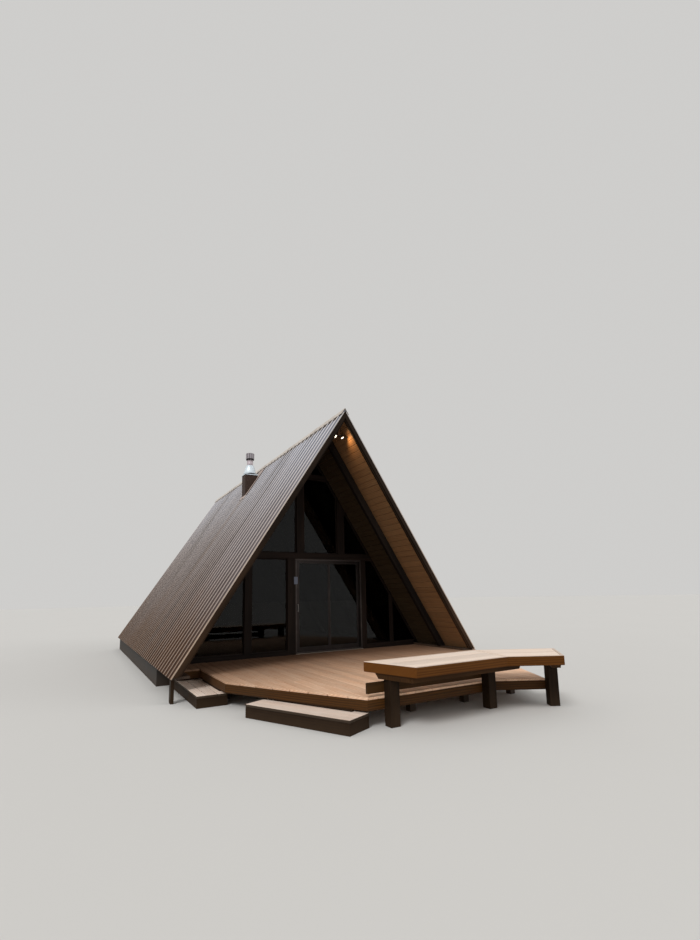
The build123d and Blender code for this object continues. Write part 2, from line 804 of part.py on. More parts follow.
# Twin lamp: a wedge in the peak carries a round plate, from which two necks reach out and
# down to the heads. The heads widen towards the light and look forwards and down.
mountTop = peak_height(liningBottom)
mountShoulder = mountTop - lampMountWidth / 2 * slopeTangent
mountBottom = mountTop - lampDrop
plateBottom = mountBottom - lampPlateThickness
headTilt = math.radians(lampTilt)
headTurn = math.radians(lampTurn)
with BuildPart() as twin_lamp:
    with BuildSketch(across(lampY + lampMountLength / 2)):
        with BuildLine():
            Polyline(
                (0, mountTop),
                (lampMountWidth / 2, mountShoulder),
                (lampMountWidth / 2, mountBottom),
                (-lampMountWidth / 2, mountBottom),
                (-lampMountWidth / 2, mountShoulder),
                close=True,
            )
        make_face()
    extrude(amount=lampMountLength)
    with BuildSketch(Plane(origin=(0, lampY, plateBottom))):
        Circle(lampPlateRadius)
    extrude(amount=lampPlateThickness)
    for name, side in sides:
        aim = Vector(side * math.sin(headTurn) * math.cos(headTilt), -math.cos(headTurn) * math.cos(headTilt),
                     -math.sin(headTilt))
        headMiddle = Vector(side * lampSpread, lampY, plateBottom - lampRadius)
        headBack = headMiddle - aim * (lampLength / 2)
        neckStart = Vector(side * lampPlateRadius / 2, lampY, plateBottom + lampPlateThickness / 2)
        neck = headMiddle - neckStart
        with BuildSketch(Plane(origin=neckStart, z_dir=neck)):
            Circle(lampNeckRadius)
        extrude(amount=neck.length)
        with BuildSketch(Plane(origin=headBack, z_dir=aim)):
            Circle(lampRadius - lampLength * math.tan(math.radians(lampTaper)))
        extrude(amount=lampLength, taper=-lampTaper)
save(twin_lamp, "twin_lamp")

print("nodes", len(os.listdir("parts")))
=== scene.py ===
import math
import bmesh
import bpy
import numpy as np
from mathutils import Matrix, Vector


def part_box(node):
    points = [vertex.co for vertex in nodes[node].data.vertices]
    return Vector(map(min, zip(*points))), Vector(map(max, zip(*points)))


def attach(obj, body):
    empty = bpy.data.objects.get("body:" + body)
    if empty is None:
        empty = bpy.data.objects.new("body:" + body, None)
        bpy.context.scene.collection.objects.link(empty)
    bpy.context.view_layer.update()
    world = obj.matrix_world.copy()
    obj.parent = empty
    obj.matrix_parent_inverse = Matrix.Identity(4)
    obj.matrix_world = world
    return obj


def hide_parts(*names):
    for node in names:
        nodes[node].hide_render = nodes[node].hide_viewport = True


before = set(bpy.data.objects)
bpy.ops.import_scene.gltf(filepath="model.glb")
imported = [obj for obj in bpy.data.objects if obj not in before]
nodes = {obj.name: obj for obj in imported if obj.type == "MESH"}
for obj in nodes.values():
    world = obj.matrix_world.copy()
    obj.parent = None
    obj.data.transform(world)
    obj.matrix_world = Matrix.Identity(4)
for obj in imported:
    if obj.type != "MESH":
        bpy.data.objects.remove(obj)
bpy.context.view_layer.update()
rng = np.random.default_rng(57)
print("frame loaded:", len(nodes), "nodes")

# The cabin's main lines in metres, as the solids have them.
cabin = {
    "ridge": 5.415, "slope": math.radians(57.2), "roofFront": -1.9, "roofRear": 8.23, "eave": 0.4,
    "ribHeight": 0.02, "ribPitch": 0.2286, "ribCount": 44, "coreBottom": 0.116, "liningBottom": 0.134,
    "rakeBottom": 0.149, "floor": 0.36, "wallFront": -0.07, "foundationInner": 2.960,
}
slopeSine, slopeCosine, slopeTangent = (f(cabin["slope"]) for f in (math.sin, math.cos, math.tan))
ribPitch = cabin["ribPitch"]
ribStart = (cabin["roofFront"] + cabin["roofRear"]) / 2 - (cabin["ribCount"] - 1) / 2 * ribPitch
ribRows = ribStart + np.arange(cabin["ribCount"]) * ribPitch


def halfWidth(depth, height):
    # run from the middle to the slope: height left to the ridge over the tangent, less the depth
    return (cabin["ridge"] - height) / slopeTangent - depth / slopeSine


def layerPeak(depth):
    # height of the ridge line of a layer that lies this deep under the rib tops
    return cabin["ridge"] - depth / slopeCosine


def slopeFrame(side, depth):
    # a point on a layer's ridge line, the way down the slope and the way out of it
    return (np.array([0, 0, layerPeak(depth)]), np.array([side * slopeCosine, 0, -slopeSine]),
            np.array([side * slopeSine, 0, slopeCosine]))


# Colour and nodes

def paint(red, green, blue):
    # display colour 0..255 to scene linear: ((c + 0.055) / 1.055) ** 2.4
    parts = np.array([red, green, blue]) / 255
    linear = np.where(parts > 0.04045, ((parts + 0.055) / 1.055) ** 2.4, parts / 12.92)
    return (*linear.tolist(), 1.0)


def dimmed(colour, factor):
    # each part of the colour times the factor
    return (*(factor * x for x in colour[:3]), 1)


class Output:
    # a node's output, from which sums, products, patterns and mixes go on

    def __init__(self, tree, socket):
        self.tree, self.socket = tree, socket

    def beside(self, key):
        # another output of the same node
        return Output(self.tree, self.socket.node.outputs[key])

    def maths(self, operation, other=0.5, clamp=False):
        # this value and the other one under an operation
        return put(self.tree, "ShaderNodeMath", 0, {0: self, 1: other}, operation=operation,
                   use_clamp=clamp)

    def __add__(self, other):
        return self.maths("ADD", other)

    def __sub__(self, other):
        return self.maths("SUBTRACT", other)

    def __mul__(self, other):
        return self.maths("MULTIPLY", other)

    def span(self, low, high, newLow=0.0, newHigh=1.0):
        # low to high becomes newLow to newHigh, and stops there
        return put(self.tree, "ShaderNodeMapRange", 0, {0: self, 1: low, 2: high, 3: newLow, 4: newHigh},
                   clamp=True)

    def noise(self, scale, detail=3.0, roughness=0.5):
        # cloudy noise laid in these coordinates
        return put(self.tree, "ShaderNodeTexNoise", 0, {"Vector": self, "Scale": scale, "Detail": detail,
                                                        "Roughness": roughness})

    def stretched(self, *scale):
        # coordinates times a scale for x, y and z
        return put(self.tree, "ShaderNodeMapping", 0, {"Vector": self, "Scale": scale})

    def parted(self):
        # the x, y and z of a vector
        x = put(self.tree, "ShaderNodeSeparateXYZ", 0, {0: self})
        return x, x.beside(1), x.beside(2)

    def grey(self):
        # a colour whose three parts are this value
        return put(self.tree, "ShaderNodeCombineXYZ", 0, {0: self, 1: self, 2: self})

    def mix(self, a, b):
        # from colour a to colour b by this factor
        return put(self.tree, "ShaderNodeMix", 2, {0: self, 6: a, 7: b}, data_type="RGBA")

    def dyed(self, colour):
        # this colour times another
        return put(self.tree, "ShaderNodeMix", 2, {0: 1.0, 6: self, 7: colour}, data_type="RGBA",
                   blend_type="MULTIPLY")

    def relief(self, strength, distance):
        # a normal bent by this height
        return put(self.tree, "ShaderNodeBump", 0, {"Strength": strength, "Distance": distance,
                                                    "Height": self})


def fill(tree, node, inputs):
    # an output is linked to the node's input, any other value is set on the input itself
    for key, value in inputs.items():
        if isinstance(value, Output):
            tree.links.new(value.socket, node.inputs[key])
        else:
            node.inputs[key].default_value = value


def put(tree, kind, output, inputs=None, **settings):
    # adds a node with its settings and inputs, and gives back one of its outputs
    made = tree.nodes.new(kind)
    for key, value in settings.items():
        setattr(made, key, value)
    fill(tree, made, inputs or {})
    return Output(tree, made.outputs[output])


def coordinates(tree, kind="Object"):
    # places on the piece itself, or its normals
    return put(tree, "ShaderNodeTexCoord", kind)


def newGroup(name, inputs, outputs):
    # inputs are labels with a value, a colour or None for a vector; outputs are labels with a kind
    group = bpy.data.node_groups.new(name, "ShaderNodeTree")
    kinds = {float: "Float", tuple: "Color", type(None): "Vector"}
    for label, default in inputs.items():
        made = group.interface.new_socket(label, in_out="INPUT",
                                          socket_type="NodeSocket" + kinds[type(default)])
        if default is not None:
            made.default_value = default
    for label, kind in outputs.items():
        group.interface.new_socket(label, in_out="OUTPUT", socket_type="NodeSocket" + kind)
    into = {socket.name: Output(group, socket) for socket in group.nodes.new("NodeGroupInput").outputs}
    return group, into, group.nodes.new("NodeGroupOutput")


def timberGroup():
    # grain: fine fibres drawn out along x, wavy growth bands over them, now and then a knot;
    # weathering greys the surface in patches and opens fine checks
    group, into, out = newGroup("timberGrain", {
        "Coordinates": None, "Tone": 0.5, "Light": (0.5, 0.4, 0.3, 1), "Dark": (0.2, 0.1, 0.05, 1),
        "Grey": (0.4, 0.38, 0.36, 1), "Weathering": 0.3, "Knots": 0.5, "Roughness": 0.6},
        {"Color": "Color", "Height": "Float", "Roughness": "Float"})
    tone, dark = into["Tone"], into["Dark"]
    own = put(group, "ShaderNodeCombineXYZ", 0, {0: tone * 37.0, 1: tone * 19.0, 2: tone * 11.0})
    shifted = put(group, "ShaderNodeVectorMath", 0, {0: into["Coordinates"], 1: own})
    drawn = shifted.stretched(1.0, 11.0, 11.0)
    broad = drawn.noise(0.8, 2.0)
    fine = shifted.stretched(5.0, 260.0, 260.0).noise(1.0, 3.0, 0.6)
    cell = put(group, "ShaderNodeTexVoronoi", "Distance", {"Vector": shifted.stretched(1.3, 4.6, 4.6),
                                                           "Scale": 1.0}, feature="F1")
    knot = cell.span(0.16, 0.03).maths("MULTIPLY", into["Knots"], True)
    bands = put(group, "ShaderNodeTexWave", "Fac", {
        "Vector": drawn, "Scale": 0.9, "Distortion": 7.0, "Detail": 2.5, "Detail Scale": 0.7,
        "Phase Offset": knot * 9.0}, bands_direction="Y")
    figure = (bands * 0.42 + fine * 0.58 + broad * 0.35).span(0.35, 0.95)
    wood = (knot * 0.75).mix(figure.mix(dark, into["Light"]), dark)
    wood = wood.dyed(tone.span(0.0, 1.0, 0.8, 1.16).grey())
    patch = shifted.stretched(1.0, 3.0, 3.0).noise(1.7, 5.0, 0.62)
    worn = patch.span(0.36, 0.66).maths("MULTIPLY", into["Weathering"], True)
    wood = (fine.span(0.52, 0.3) * 0.35).mix(worn.mix(wood, into["Grey"]), dark)
    rough = into["Roughness"] + (fine - 0.5) * 0.3
    fill(group, out, {"Color": wood, "Height": fine * 0.7 + bands * 0.3 - fine.span(0.36, 0.22) * 0.8,
                      "Roughness": rough.maths("ADD", worn * 0.15, True)})
    return group


def soilGroup():
    # dirt: a band of splashed earth that fades with height, and grime in soft blotches
    group, into, out = newGroup("groundDirt", {
        "Color": (0.5, 0.5, 0.5, 1), "Dirt": (0.045, 0.027, 0.015, 1), "Reach": 0.35, "Amount": 0.6},
        {"Color": "Color"})
    place = coordinates(group)
    near = place.parted()[2].maths("DIVIDE", into["Reach"]).span(0.0, 1.0, 1.0, 0.0)
    blotches = (near + place.noise(5.0, 6.0, 0.65) * 0.7).span(0.45, 1.25)
    mask = blotches.maths("MULTIPLY", into["Amount"], True)
    fill(group, out, {"Color": mask.mix(into["Color"], into["Dirt"])})
    return group


timberGrain = timberGroup()
groundDirt = soilGroup()


def newMaterial(name):
    # a material and its node tree
    material = bpy.data.materials.new(name)
    material.use_nodes = True
    return material, material.node_tree


def painted(material, inputs):
    # gives the material's shader its inputs
    fill(material.node_tree, material.node_tree.nodes["Principled BSDF"], inputs)
    return material


def timber(name, stain, weathering=0.3, knots=0.5, roughness=0.6, along=None, dirt=0.0, reach=0.35,
           vary=1.0, shine=0.3, paintedShade=None, edge=None):
    # Stain is the display colours of light, dark and greyed wood. Along None reads the piece's own UV map
    # and board tone; otherwise it is a turn (x, y, z) that brings the length of the timber onto x in Object
    # coordinates. Vary scales how far the boards differ in tone. The gradient (colour, axis, start, end) is
    # a
    # painted shade: the timber turns to that colour along an axis. Edge is a factor for the upright faces,
    # where rain and mud have darkened the sawn edges.
    material, tree = newMaterial(name)
    light, dark, grey = (paint(*colour) for colour in stain)
    if along is None:
        place = put(tree, "ShaderNodeUVMap", 0, uv_map="grain")
        tone = put(tree, "ShaderNodeAttribute", "Fac", attribute_name="tone") * vary + (1 - vary) / 2
    else:
        place = put(tree, "ShaderNodeMapping", 0, {"Vector": coordinates(tree), "Rotation": along})
        tone = 0.5
    grain = put(tree, "ShaderNodeGroup", "Color", {
        "Coordinates": place, "Tone": tone, "Light": light, "Dark": dark, "Grey": grey,
        "Weathering": weathering, "Knots": knots, "Roughness": roughness}, node_tree=timberGrain)
    colour = grain
    # painted shade: the colour darkens along the axis between start and end
    if paintedShade:
        other, axis, start, end = paintedShade
        colour = colour.dyed(coordinates(tree).parted()[axis].span(start, end).mix((1, 1, 1, 1), other))
    if edge:
        level = coordinates(tree, "Normal").parted()[2]
        colour = colour.dyed(level.span(0.75, 0.35).mix((1, 1, 1, 1), edge))
    if dirt:
        colour = put(tree, "ShaderNodeGroup", "Color", {"Color": colour, "Amount": dirt, "Reach": reach},
                     node_tree=groundDirt)
    return painted(material, {
        "Base Color": colour, "Roughness": grain.beside("Roughness"), "Specular IOR Level": shine,
        "Normal": grain.beside("Height").relief(0.35, 0.0012)})


# Turns that bring a member's length onto x: members along X, along Y, upright, and along the slopes.
alongX = (0.0, 0.0, 0.0)
alongY = (0.0, 0.0, -math.pi / 2)
upright = (0.0, math.pi / 2, 0.0)
alongSlope = {"left": (0.0, cabin["slope"], 0.0), "right": (0.0, -cabin["slope"], 0.0)}

# Stains in display colours: light, dark and greyed wood.
darkStain = ((40, 30, 25), (20, 15, 13), (50, 40, 34))
charcoal = ((34, 28, 24), (17, 14, 13), (44, 37, 33))
bargeStain = ((62, 44, 30), (34, 24, 16), (74, 56, 42))
postStain = ((42, 29, 17), (23, 15, 9), (46, 35, 25))
underStain = ((70, 52, 38), (42, 30, 22), (70, 60, 50))
rearStain = ((70, 52, 40), (40, 29, 23), (88, 74, 62))

# Mesh helpers. Each frame is an origin, u and w: outlines in plan, in plan with x along Y, and upright
# outlines seen from the front and from behind.
inPlan = ((0, 0, 0), (1, 0, 0), (0, 0, 1))
lengthwise = ((0, 0, 0), (0, 1, 0), (0, 0, 1))
facingFront = ((0, 0, 0), (1, 0, 0), (0, -1, 0))
facingBack = ((0, 0, 0), (-1, 0, 0), (0, 1, 0))


def insetOutline(outline, distance):
    # each corner moves inwards along its two edges' normals: p + d (n1 + n2) / (1 + n1 . n2)
    edges = np.roll(outline, -1, 1) - outline
    edges = edges / np.linalg.norm(edges, axis=2, keepdims=True)
    after = np.stack([-edges[..., 1], edges[..., 0]], 2)
    before = np.roll(after, 1, 1)
    turn = 1 + (before * after).sum(2, keepdims=True)
    return outline + distance * (before + after) / np.maximum(turn, 0.2)


def turnedLeft(outline):
    # reverses those outlines whose signed area is negative
    nextPoint = np.roll(outline, -1, 1)
    area = (outline[..., 0] * nextPoint[..., 1] - nextPoint[..., 0] * outline[..., 1]).sum(1)
    return np.where(area[:, None, None] < 0, outline[:, ::-1], outline)


def placed(name, data):
    # an object in the scene, at the origin
    made = bpy.data.objects.new(name, data)
    bpy.context.scene.collection.objects.link(made)
    return made


def finishPiece(name, mesh, body, material):
    # an object with one material, that rides with its body
    piece = placed(name, mesh)
    mesh.materials.clear()
    mesh.materials.append(material)
    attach(piece, body)
    return piece


def finishMesh(name, points, faces, body, material, smooth=False, weld=False):
    # a piece from points and faces; weld joins doubled points and turns the faces outward
    mesh = bpy.data.meshes.new(name)
    mesh.from_pydata(points, [], faces)
    if weld:
        shape = bmesh.new()
        shape.from_mesh(mesh)
        bmesh.ops.remove_doubles(shape, verts=shape.verts, dist=1e-5)
        bmesh.ops.recalc_face_normals(shape, faces=shape.faces)
        shape.to_mesh(mesh)
        shape.free()
    mesh.update()
    if smooth:
        mesh.shade_smooth()
    return finishPiece(name, mesh, body, material)


def planks(name, groups, material, chamfer=0.003, body="cabin"):
    # Boards as one mesh. Each group is (outlines, origin, u, w, low, high, grain axis): the outlines lie
    # in the plane of u and w x u, and rise from low to high along w. Four rings make a board: the outline
    # drawn in by the chamfer at either face, and the full outline one chamfer inside each face.
    allPoints, faces, allTones, allCoordinates, base = [], [], [], [], 0
    for outlines, origin, u, w, low, high, grainAxis in groups:
        outlines = turnedLeft(np.asarray(outlines, float))
        count, sides = outlines.shape[:2]
        u, w = np.asarray(u, float), np.asarray(w, float)
        v = np.cross(w, u)
        drawn = insetOutline(outlines, chamfer)
        rings = [(drawn, low), (outlines, low + chamfer), (outlines, high - chamfer), (drawn, high)]
        flat = np.stack([r[0] for r in rings], 1)
        level = np.broadcast_to(np.array([r[1] for r in rings])[None, :, None, None], flat[..., :1].shape)
        points = np.asarray(origin, float) + flat[..., :1] * u + flat[..., 1:] * v + level * w
        tone = rng.random(count)
        a, b = (flat[..., :1], flat[..., 1:]) if grainAxis == 0 else (flat[..., 1:], flat[..., :1])
        shift = rng.random((count, 1, 1, 1)) * 9
        allCoordinates.append(np.concatenate([a + shift, b + level + shift * 1.7], 3).reshape(-1, 2))
        allTones.append(np.repeat(tone, 4 * sides))
        start = base + np.arange(count)[:, None] * 4 * sides
        ring = np.arange(sides)
        after = (ring + 1) % sides
        for k in range(3):
            quads = np.stack([k * sides + ring, k * sides + after, (k + 1) * sides + after,
                              (k + 1) * sides + ring], 1)
            faces += (start[:, :, None] + quads[None]).reshape(-1, 4).tolist()
        faces += (start + (3 * sides + ring)[None]).tolist()
        faces += (start + ring[::-1][None]).tolist()
        allPoints.append(points.reshape(-1, 3))
        base += count * 4 * sides
    piece = finishMesh(name, np.concatenate(allPoints), faces, body, material)
    mesh = piece.data
    corner = np.zeros(len(mesh.loops), np.int32)
    mesh.loops.foreach_get("vertex_index", corner)
    layer = mesh.uv_layers.new(name="grain")
    layer.data.foreach_set("uv", np.concatenate(allCoordinates)[corner].astype(np.float32).ravel())
    tones = mesh.attributes.new("tone", "FLOAT", "POINT")
    tones.data.foreach_set("value", np.concatenate(allTones).astype(np.float32))
    return piece


def box(a0, a1, b0, b1):
    # outlines of rectangles, from arrays or numbers
    a0, a1, b0, b1 = np.broadcast_arrays(*(np.atleast_1d(np.asarray(x, float)) for x in (a0, a1, b0, b1)))
    return np.stack([a0, b0, a1, b0, a1, b1, a0, b1], 1).reshape(-1, 4, 2)


def strips(start, end, pitch, gap, low, high, knots=()):
    # Boards side by side from start to end, each between the edges low and high, which are numbers or
    # functions of x. Every end has three points, the middle one on a corner of the edge where that lies
    # inside the board.
    count = max(1, round((end - start) / pitch))
    edges = np.linspace(start, end, count + 1)
    left, right = edges[:-1] + gap / 2, edges[1:] - gap / 2
    middle = (left + right) / 2
    for knot in knots:
        middle = np.where((left + 0.004 < knot) & (knot < right - 0.004), knot, middle)
    cross = np.stack([left, middle, right], 1)
    bottom, top = (np.stack([cross, edge(cross) if callable(edge) else np.full_like(cross, edge)], 2)
                   for edge in (low, high))
    return np.concatenate([bottom, top[:, ::-1]], 1)


def rim(corners, width):
    # Mitred boards round a closed outline: each runs between one edge and the same edge drawn in.
    outer = turnedLeft(np.asarray(corners, float)[None])
    inner = insetOutline(outer, width)[0]
    outer = outer[0]
    return np.stack([outer, np.roll(outer, -1, 0), np.roll(inner, -1, 0), inner], 1)


def scattered(name, shape, origins, u, w, material, weld=False):
    # the same small shape at many places: origin + x u + y (w x u) + z w
    basePoints, baseFaces = shape
    u, w = np.broadcast_to(u, origins.shape), np.broadcast_to(w, origins.shape)
    v = np.cross(w, u)
    points = (origins[:, None] + basePoints[None, :, :1] * u[:, None]
              + basePoints[None, :, 1:2] * v[:, None] + basePoints[None, :, 2:] * w[:, None])
    faces = []
    for face in baseFaces:
        faces += (np.arange(len(origins))[:, None] * len(basePoints) + np.array(face)[None]).tolist()
    return finishMesh(name, points.reshape(-1, 3), faces, "cabin", material, weld=weld)


def screwShape(washer, head, rise, sides=6):
    # three rings and a cap: washer edge, washer top, head foot and head top
    angle = np.arange(sides) * 2 * math.pi / sides
    ring = np.stack([np.cos(angle), np.sin(angle)], 1)
    levels = [(washer, 0.0), (washer * 0.93, rise * 0.3), (head, rise * 0.34), (head * 0.92, rise)]
    points = np.concatenate([np.column_stack([ring * r, np.full(sides, z)]) for r, z in levels])
    i = np.arange(sides)
    j = (i + 1) % sides
    faces = [[k * sides + a, k * sides + b, (k + 1) * sides + b, (k + 1) * sides + a]
             for k in range(3) for a, b in zip(i.tolist(), j.tolist())]
    faces.append((3 * sides + i).tolist())
    return points, faces


def turned(name, profile, origin, material, axis=(0, 0, 1), segments=48, smooth=True):
    # a profile (radius, height) carried round an axis through the origin
    profile = np.asarray(profile, float)
    axis = Vector(axis).normalized()
    side = axis.orthogonal().normalized()
    other = axis.cross(side)
    angle = np.arange(segments) * 2 * math.pi / segments
    around = np.cos(angle)[:, None] * np.array(side) + np.sin(angle)[:, None] * np.array(other)
    points = (np.array(origin) + profile[None, :, :1] * around[:, None]
              + profile[None, :, 1:] * np.array(axis))
    length = len(profile)
    i = np.arange(segments)[:, None] * length
    j = ((np.arange(segments) + 1) % segments)[:, None] * length
    k = np.arange(length - 1)[None]
    quads = np.stack([i + k, j + k, j + k + 1, i + k + 1], 2).reshape(-1, 4)
    return finishMesh(name, points.reshape(-1, 3), quads.tolist(), "cabin", material, smooth, True)


def softened(node, material, width=0.003, body="cabin"):
    # a copy of a solid with its corners merged, its flat faces joined and its edges rounded over
    shape = bmesh.new()
    shape.from_mesh(nodes[node].data)
    bmesh.ops.remove_doubles(shape, verts=shape.verts, dist=1e-5)
    bmesh.ops.dissolve_limit(shape, angle_limit=math.radians(0.5), verts=shape.verts, edges=shape.edges)
    mesh = bpy.data.meshes.new(node + "_dressed")
    shape.to_mesh(mesh)
    shape.free()
    piece = finishPiece(node + "_dressed", mesh, body, material)
    rounding = piece.modifiers.new("edges", "BEVEL")
    rounding.width = width
    rounding.segments = 2
    rounding.limit_method = "ANGLE"
    rounding.angle_limit = math.radians(25)
    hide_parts(node)


def dress(node, material):
    # gives a solid's own object one material
    nodes[node].data.materials.clear()
    nodes[node].data.materials.append(material)


# Roof sheet

# the rib shade and rib top colours are a painted shadow and a painted highlight; the upper grey carries a
# painted sky reflection
roofSheet = {
    "eaveBrown": (92, 53, 18), "upperGreySkyReflection": (204, 210, 226), "streak": (64, 46, 34), "stain": (104, 70, 48),
    "ribShade": (36, 26, 20), "ribTopHighlight": (222, 208, 192), "stainMiddle": 2.82, "minorStart": 0.16,
    "minorHeight": 0.0018, "minorWidth": 0.022, "minorShift": 0.036, "minorSunk": 0.0005, "lapStep": 4,
    "lapStart": 0.05, "lapShift": 0.04, "lapWidth": 0.016, "lapThickness": 0.0016, "lapSunk": 0.0003,
    "sheetEnd": 5.947, "trimStart": 0.06, "trimWidth": 0.014, "trimFold": 0.0015, "trimDrop": 0.012,
    "trimRise": 0.006, "closureStart": 0.118, "closureEnd": 0.135, "closureInset": 0.016,
    "screwRows": 8, "screwStart": 0.28, "screwEnd": 0.12, "screwShift": 0.052,
}


def sheetMetal(name, low, high, roughness, ribs=False):
    # Painted sheet: brown at the eaves, paler bluish grey near the ridge as a painted sky reflection, each
    # width of four ribs a touch different, with soft rain streaks down the slope. The place within a rib's
    # pitch is (y - first rib) modulo the pitch: a painted shadow lies in front of each rib, a painted
    # highlight on top.
    material, tree = newMaterial(name)
    low, high, streak, stained, ribShade, ribTopHighlight = (paint(*colour) for colour in (
        low, high, *(roofSheet[key] for key in ("streak", "stain", "ribShade", "ribTopHighlight"))))
    place = coordinates(tree)
    x, y, z = place.parted()
    wide = place.stretched(0.3, 3.4, 0.3).noise(1.0)
    lift = z + (wide - 0.5) * 1.6 + (place.noise(0.45, 2.0) - 0.5) * 1.6
    # paler and bluish towards the ridge: a painted sky reflection
    middle = tuple(0.62 * a + 0.38 * b for a, b in zip(low, high))
    colour = lift.span(3.2, 5.2).mix(lift.span(0.6, 3.2).mix(low, middle), high)
    sheet = (y + 20.0).maths("DIVIDE", roofSheet["lapStep"] * ribPitch).maths("FLOOR")
    own = put(tree, "ShaderNodeTexWhiteNoise", "Value", {"W": sheet}, noise_dimensions="1D")
    dirty = wide.span(0.5, 0.74, 0.0, 0.38)
    colour = dirty.mix(colour.dyed(own.span(0.0, 1.0, 0.93, 1.05).grey()), streak)
    if ribs:
        aside = (y - roofSheet["stainMiddle"]).maths("ABSOLUTE")
        stain = (aside + wide * 0.2).span(0.42, 0.16) * z.span(5.1, 4.3, 0.0, 0.45)
        colour = (stain * x.span(0.0, -0.3)).mix(colour, stained)
        # painted shade in front of each rib and a painted highlight along the rib tops, the highlight
        # stronger higher up
        within = (y - ribStart + ribPitch / 2).maths("FLOORED_MODULO", ribPitch) - ribPitch / 2
        front = within.span(-0.092, -0.07) * within.span(-0.012, -0.018) * wide.span(0.25, 0.75, 0.6, 0.8)
        top = within.maths("ABSOLUTE").span(0.02, 0.013) * z.span(0.6, 4.2, 0.3, 0.62)
        colour = top.mix(front.mix(colour, ribShade), ribTopHighlight)
    rough = wide.span(0.3, 0.7, roughness - 0.04, roughness + 0.1)
    return painted(material, {
        "Base Color": colour, "Roughness": rough.maths("ADD", dirty * 0.3, True), "Metallic": 0.1,
        "Specular IOR Level": 0.15, "Normal": place.noise(3.2, 1.0).relief(0.4, 0.004)})


def galvanised(name, base, dark, roughness, metallic, flake, dull=0.4):
    # zinc or steel: flakes of slightly different grey, dull patches and small stains
    material, tree = newMaterial(name)
    base, dark = paint(*base), paint(*dark)
    place = coordinates(tree)
    flakes = put(tree, "ShaderNodeTexVoronoi", "Color", {"Vector": place, "Scale": flake}, feature="F1")
    value = flakes.parted()[0]
    stain = place.stretched(1.0, 1.0, 0.3).noise(9.0, 5.0, 0.6)
    mask = stain.span(0.48, 0.72) * dull
    rough = value.span(0.0, 1.0, roughness, roughness + 0.14)
    return painted(material, {
        "Base Color": mask.mix((value * 0.25).mix(base, dark), dark), "Metallic": metallic,
        "Roughness": rough.maths("ADD", mask * 0.3, True), "Normal": stain.relief(0.3, 0.001)})


def rubber(name, base):
    # matt rubber, foam or plastic with a faint bloom
    material, tree = newMaterial(name)
    base = paint(*base)
    bloom = coordinates(tree).noise(35.0, 4.0, 0.6)
    pale = tuple(min(1.0, 1.35 * x + 0.02) for x in base[:3]) + (1,)
    return painted(material, {"Base Color": bloom.span(0.42, 0.8, 0.0, 0.5).mix(base, pale),
                              "Roughness": bloom.span(0.3, 0.7, 0.6, 0.8)})


roofMetal = sheetMetal("roofMetal", roofSheet["eaveBrown"], roofSheet["upperGreySkyReflection"], 0.42, True)
ridgeMetal = sheetMetal("ridgeMetal", (150, 140, 132), (206, 197, 188), 0.5)
trimMetal = sheetMetal("trimMetal", (176, 156, 138), (212, 208, 206), 0.4)
fastener = galvanised("fastener", (128, 118, 110), (74, 62, 54), 0.4, 0.7, 60.0)
closureFoam = rubber("closureFoam", (104, 90, 78))
sheetScrew = screwShape(0.009, 0.0048, 0.0075)


def dressSheet(side, name):
    # swages between the ribs, the raised edge of every overlap, and rows of screws beside the ribs
    r = roofSheet
    place = slopeFrame(side, cabin["ribHeight"])
    apex, down, outwards = place
    end = r["sheetEnd"]
    pans = ribRows[1:] - ribPitch / 2
    middles = np.concatenate([pans - r["minorShift"], pans + r["minorShift"]])
    half = r["minorWidth"] / 2
    swages = box(r["minorStart"], end - 0.002, side * (middles - half), side * (middles + half))
    laps = ribRows[r["lapStep"] - 1::r["lapStep"]] + r["lapShift"]
    seams = box(r["lapStart"], end, side * laps, side * (laps + r["lapWidth"]))
    planks(name + "_sheet_folds", [(swages, *place, -r["minorSunk"], r["minorHeight"], 0),
                                   (seams, *place, -r["lapSunk"], r["lapThickness"], 0)],
           roofMetal, chamfer=0.0008)
    width, fold = r["trimWidth"], r["trimFold"]
    ends = np.array([cabin["roofFront"], cabin["roofRear"] - fold - width])
    legs = np.array([cabin["roofFront"] - fold, cabin["roofRear"] - fold])
    flaps, returns = (box(r["trimStart"], end - 0.004, side * start, side * (start + across))
                      for start, across in ((ends, width), (legs, fold)))
    planks(name + "_rake_trim", [(flaps, *place, 0.0, r["trimRise"], 0),
                                 (returns, *place, -r["trimDrop"], r["trimRise"], 0)],
           trimMetal, chamfer=0.0006)
    setBack = cabin["ribHeight"] * slopeTangent
    reach = ribPitch / 2 - r["closureInset"]
    bays = box(r["closureStart"] + setBack, r["closureEnd"] + setBack, side * (pans - reach),
               side * (pans + reach))
    planks(name + "_ridge_closure", [(bays, *place, -0.001, cabin["ribHeight"] - 0.001, 1)],
           closureFoam, chamfer=0.001)
    along = np.linspace(r["screwStart"], end - r["screwEnd"], r["screwRows"])
    grid, rows = np.meshgrid(along, ribRows[:-1] + r["screwShift"])
    origins = apex + grid.reshape(-1, 1) * down + rows.reshape(-1, 1) * np.array([0, 1.0, 0])
    scattered(name + "_sheet_screws", sheetScrew, origins, down, outwards, fastener)


for sideName, sideSign in (("left", -1), ("right", 1)):
    dress(sideName + "_cladding", roofMetal)
    dressSheet(sideSign, sideName)
dress("ridge_cap", ridgeMetal)

ridgeCap = {"lipStart": 0.136, "lipEnd": 0.149, "lipLow": 0.001, "lipHigh": 0.0062, "endInset": 0.002,
            "joints": (1.1, 4.1, 7.1), "jointWidth": 0.03, "jointStart": 0.004, "jointEnd": 0.148,
            "jointLow": 0.002, "jointHigh": 0.0052, "screwPlace": 0.105, "screwFoot": 0.003}


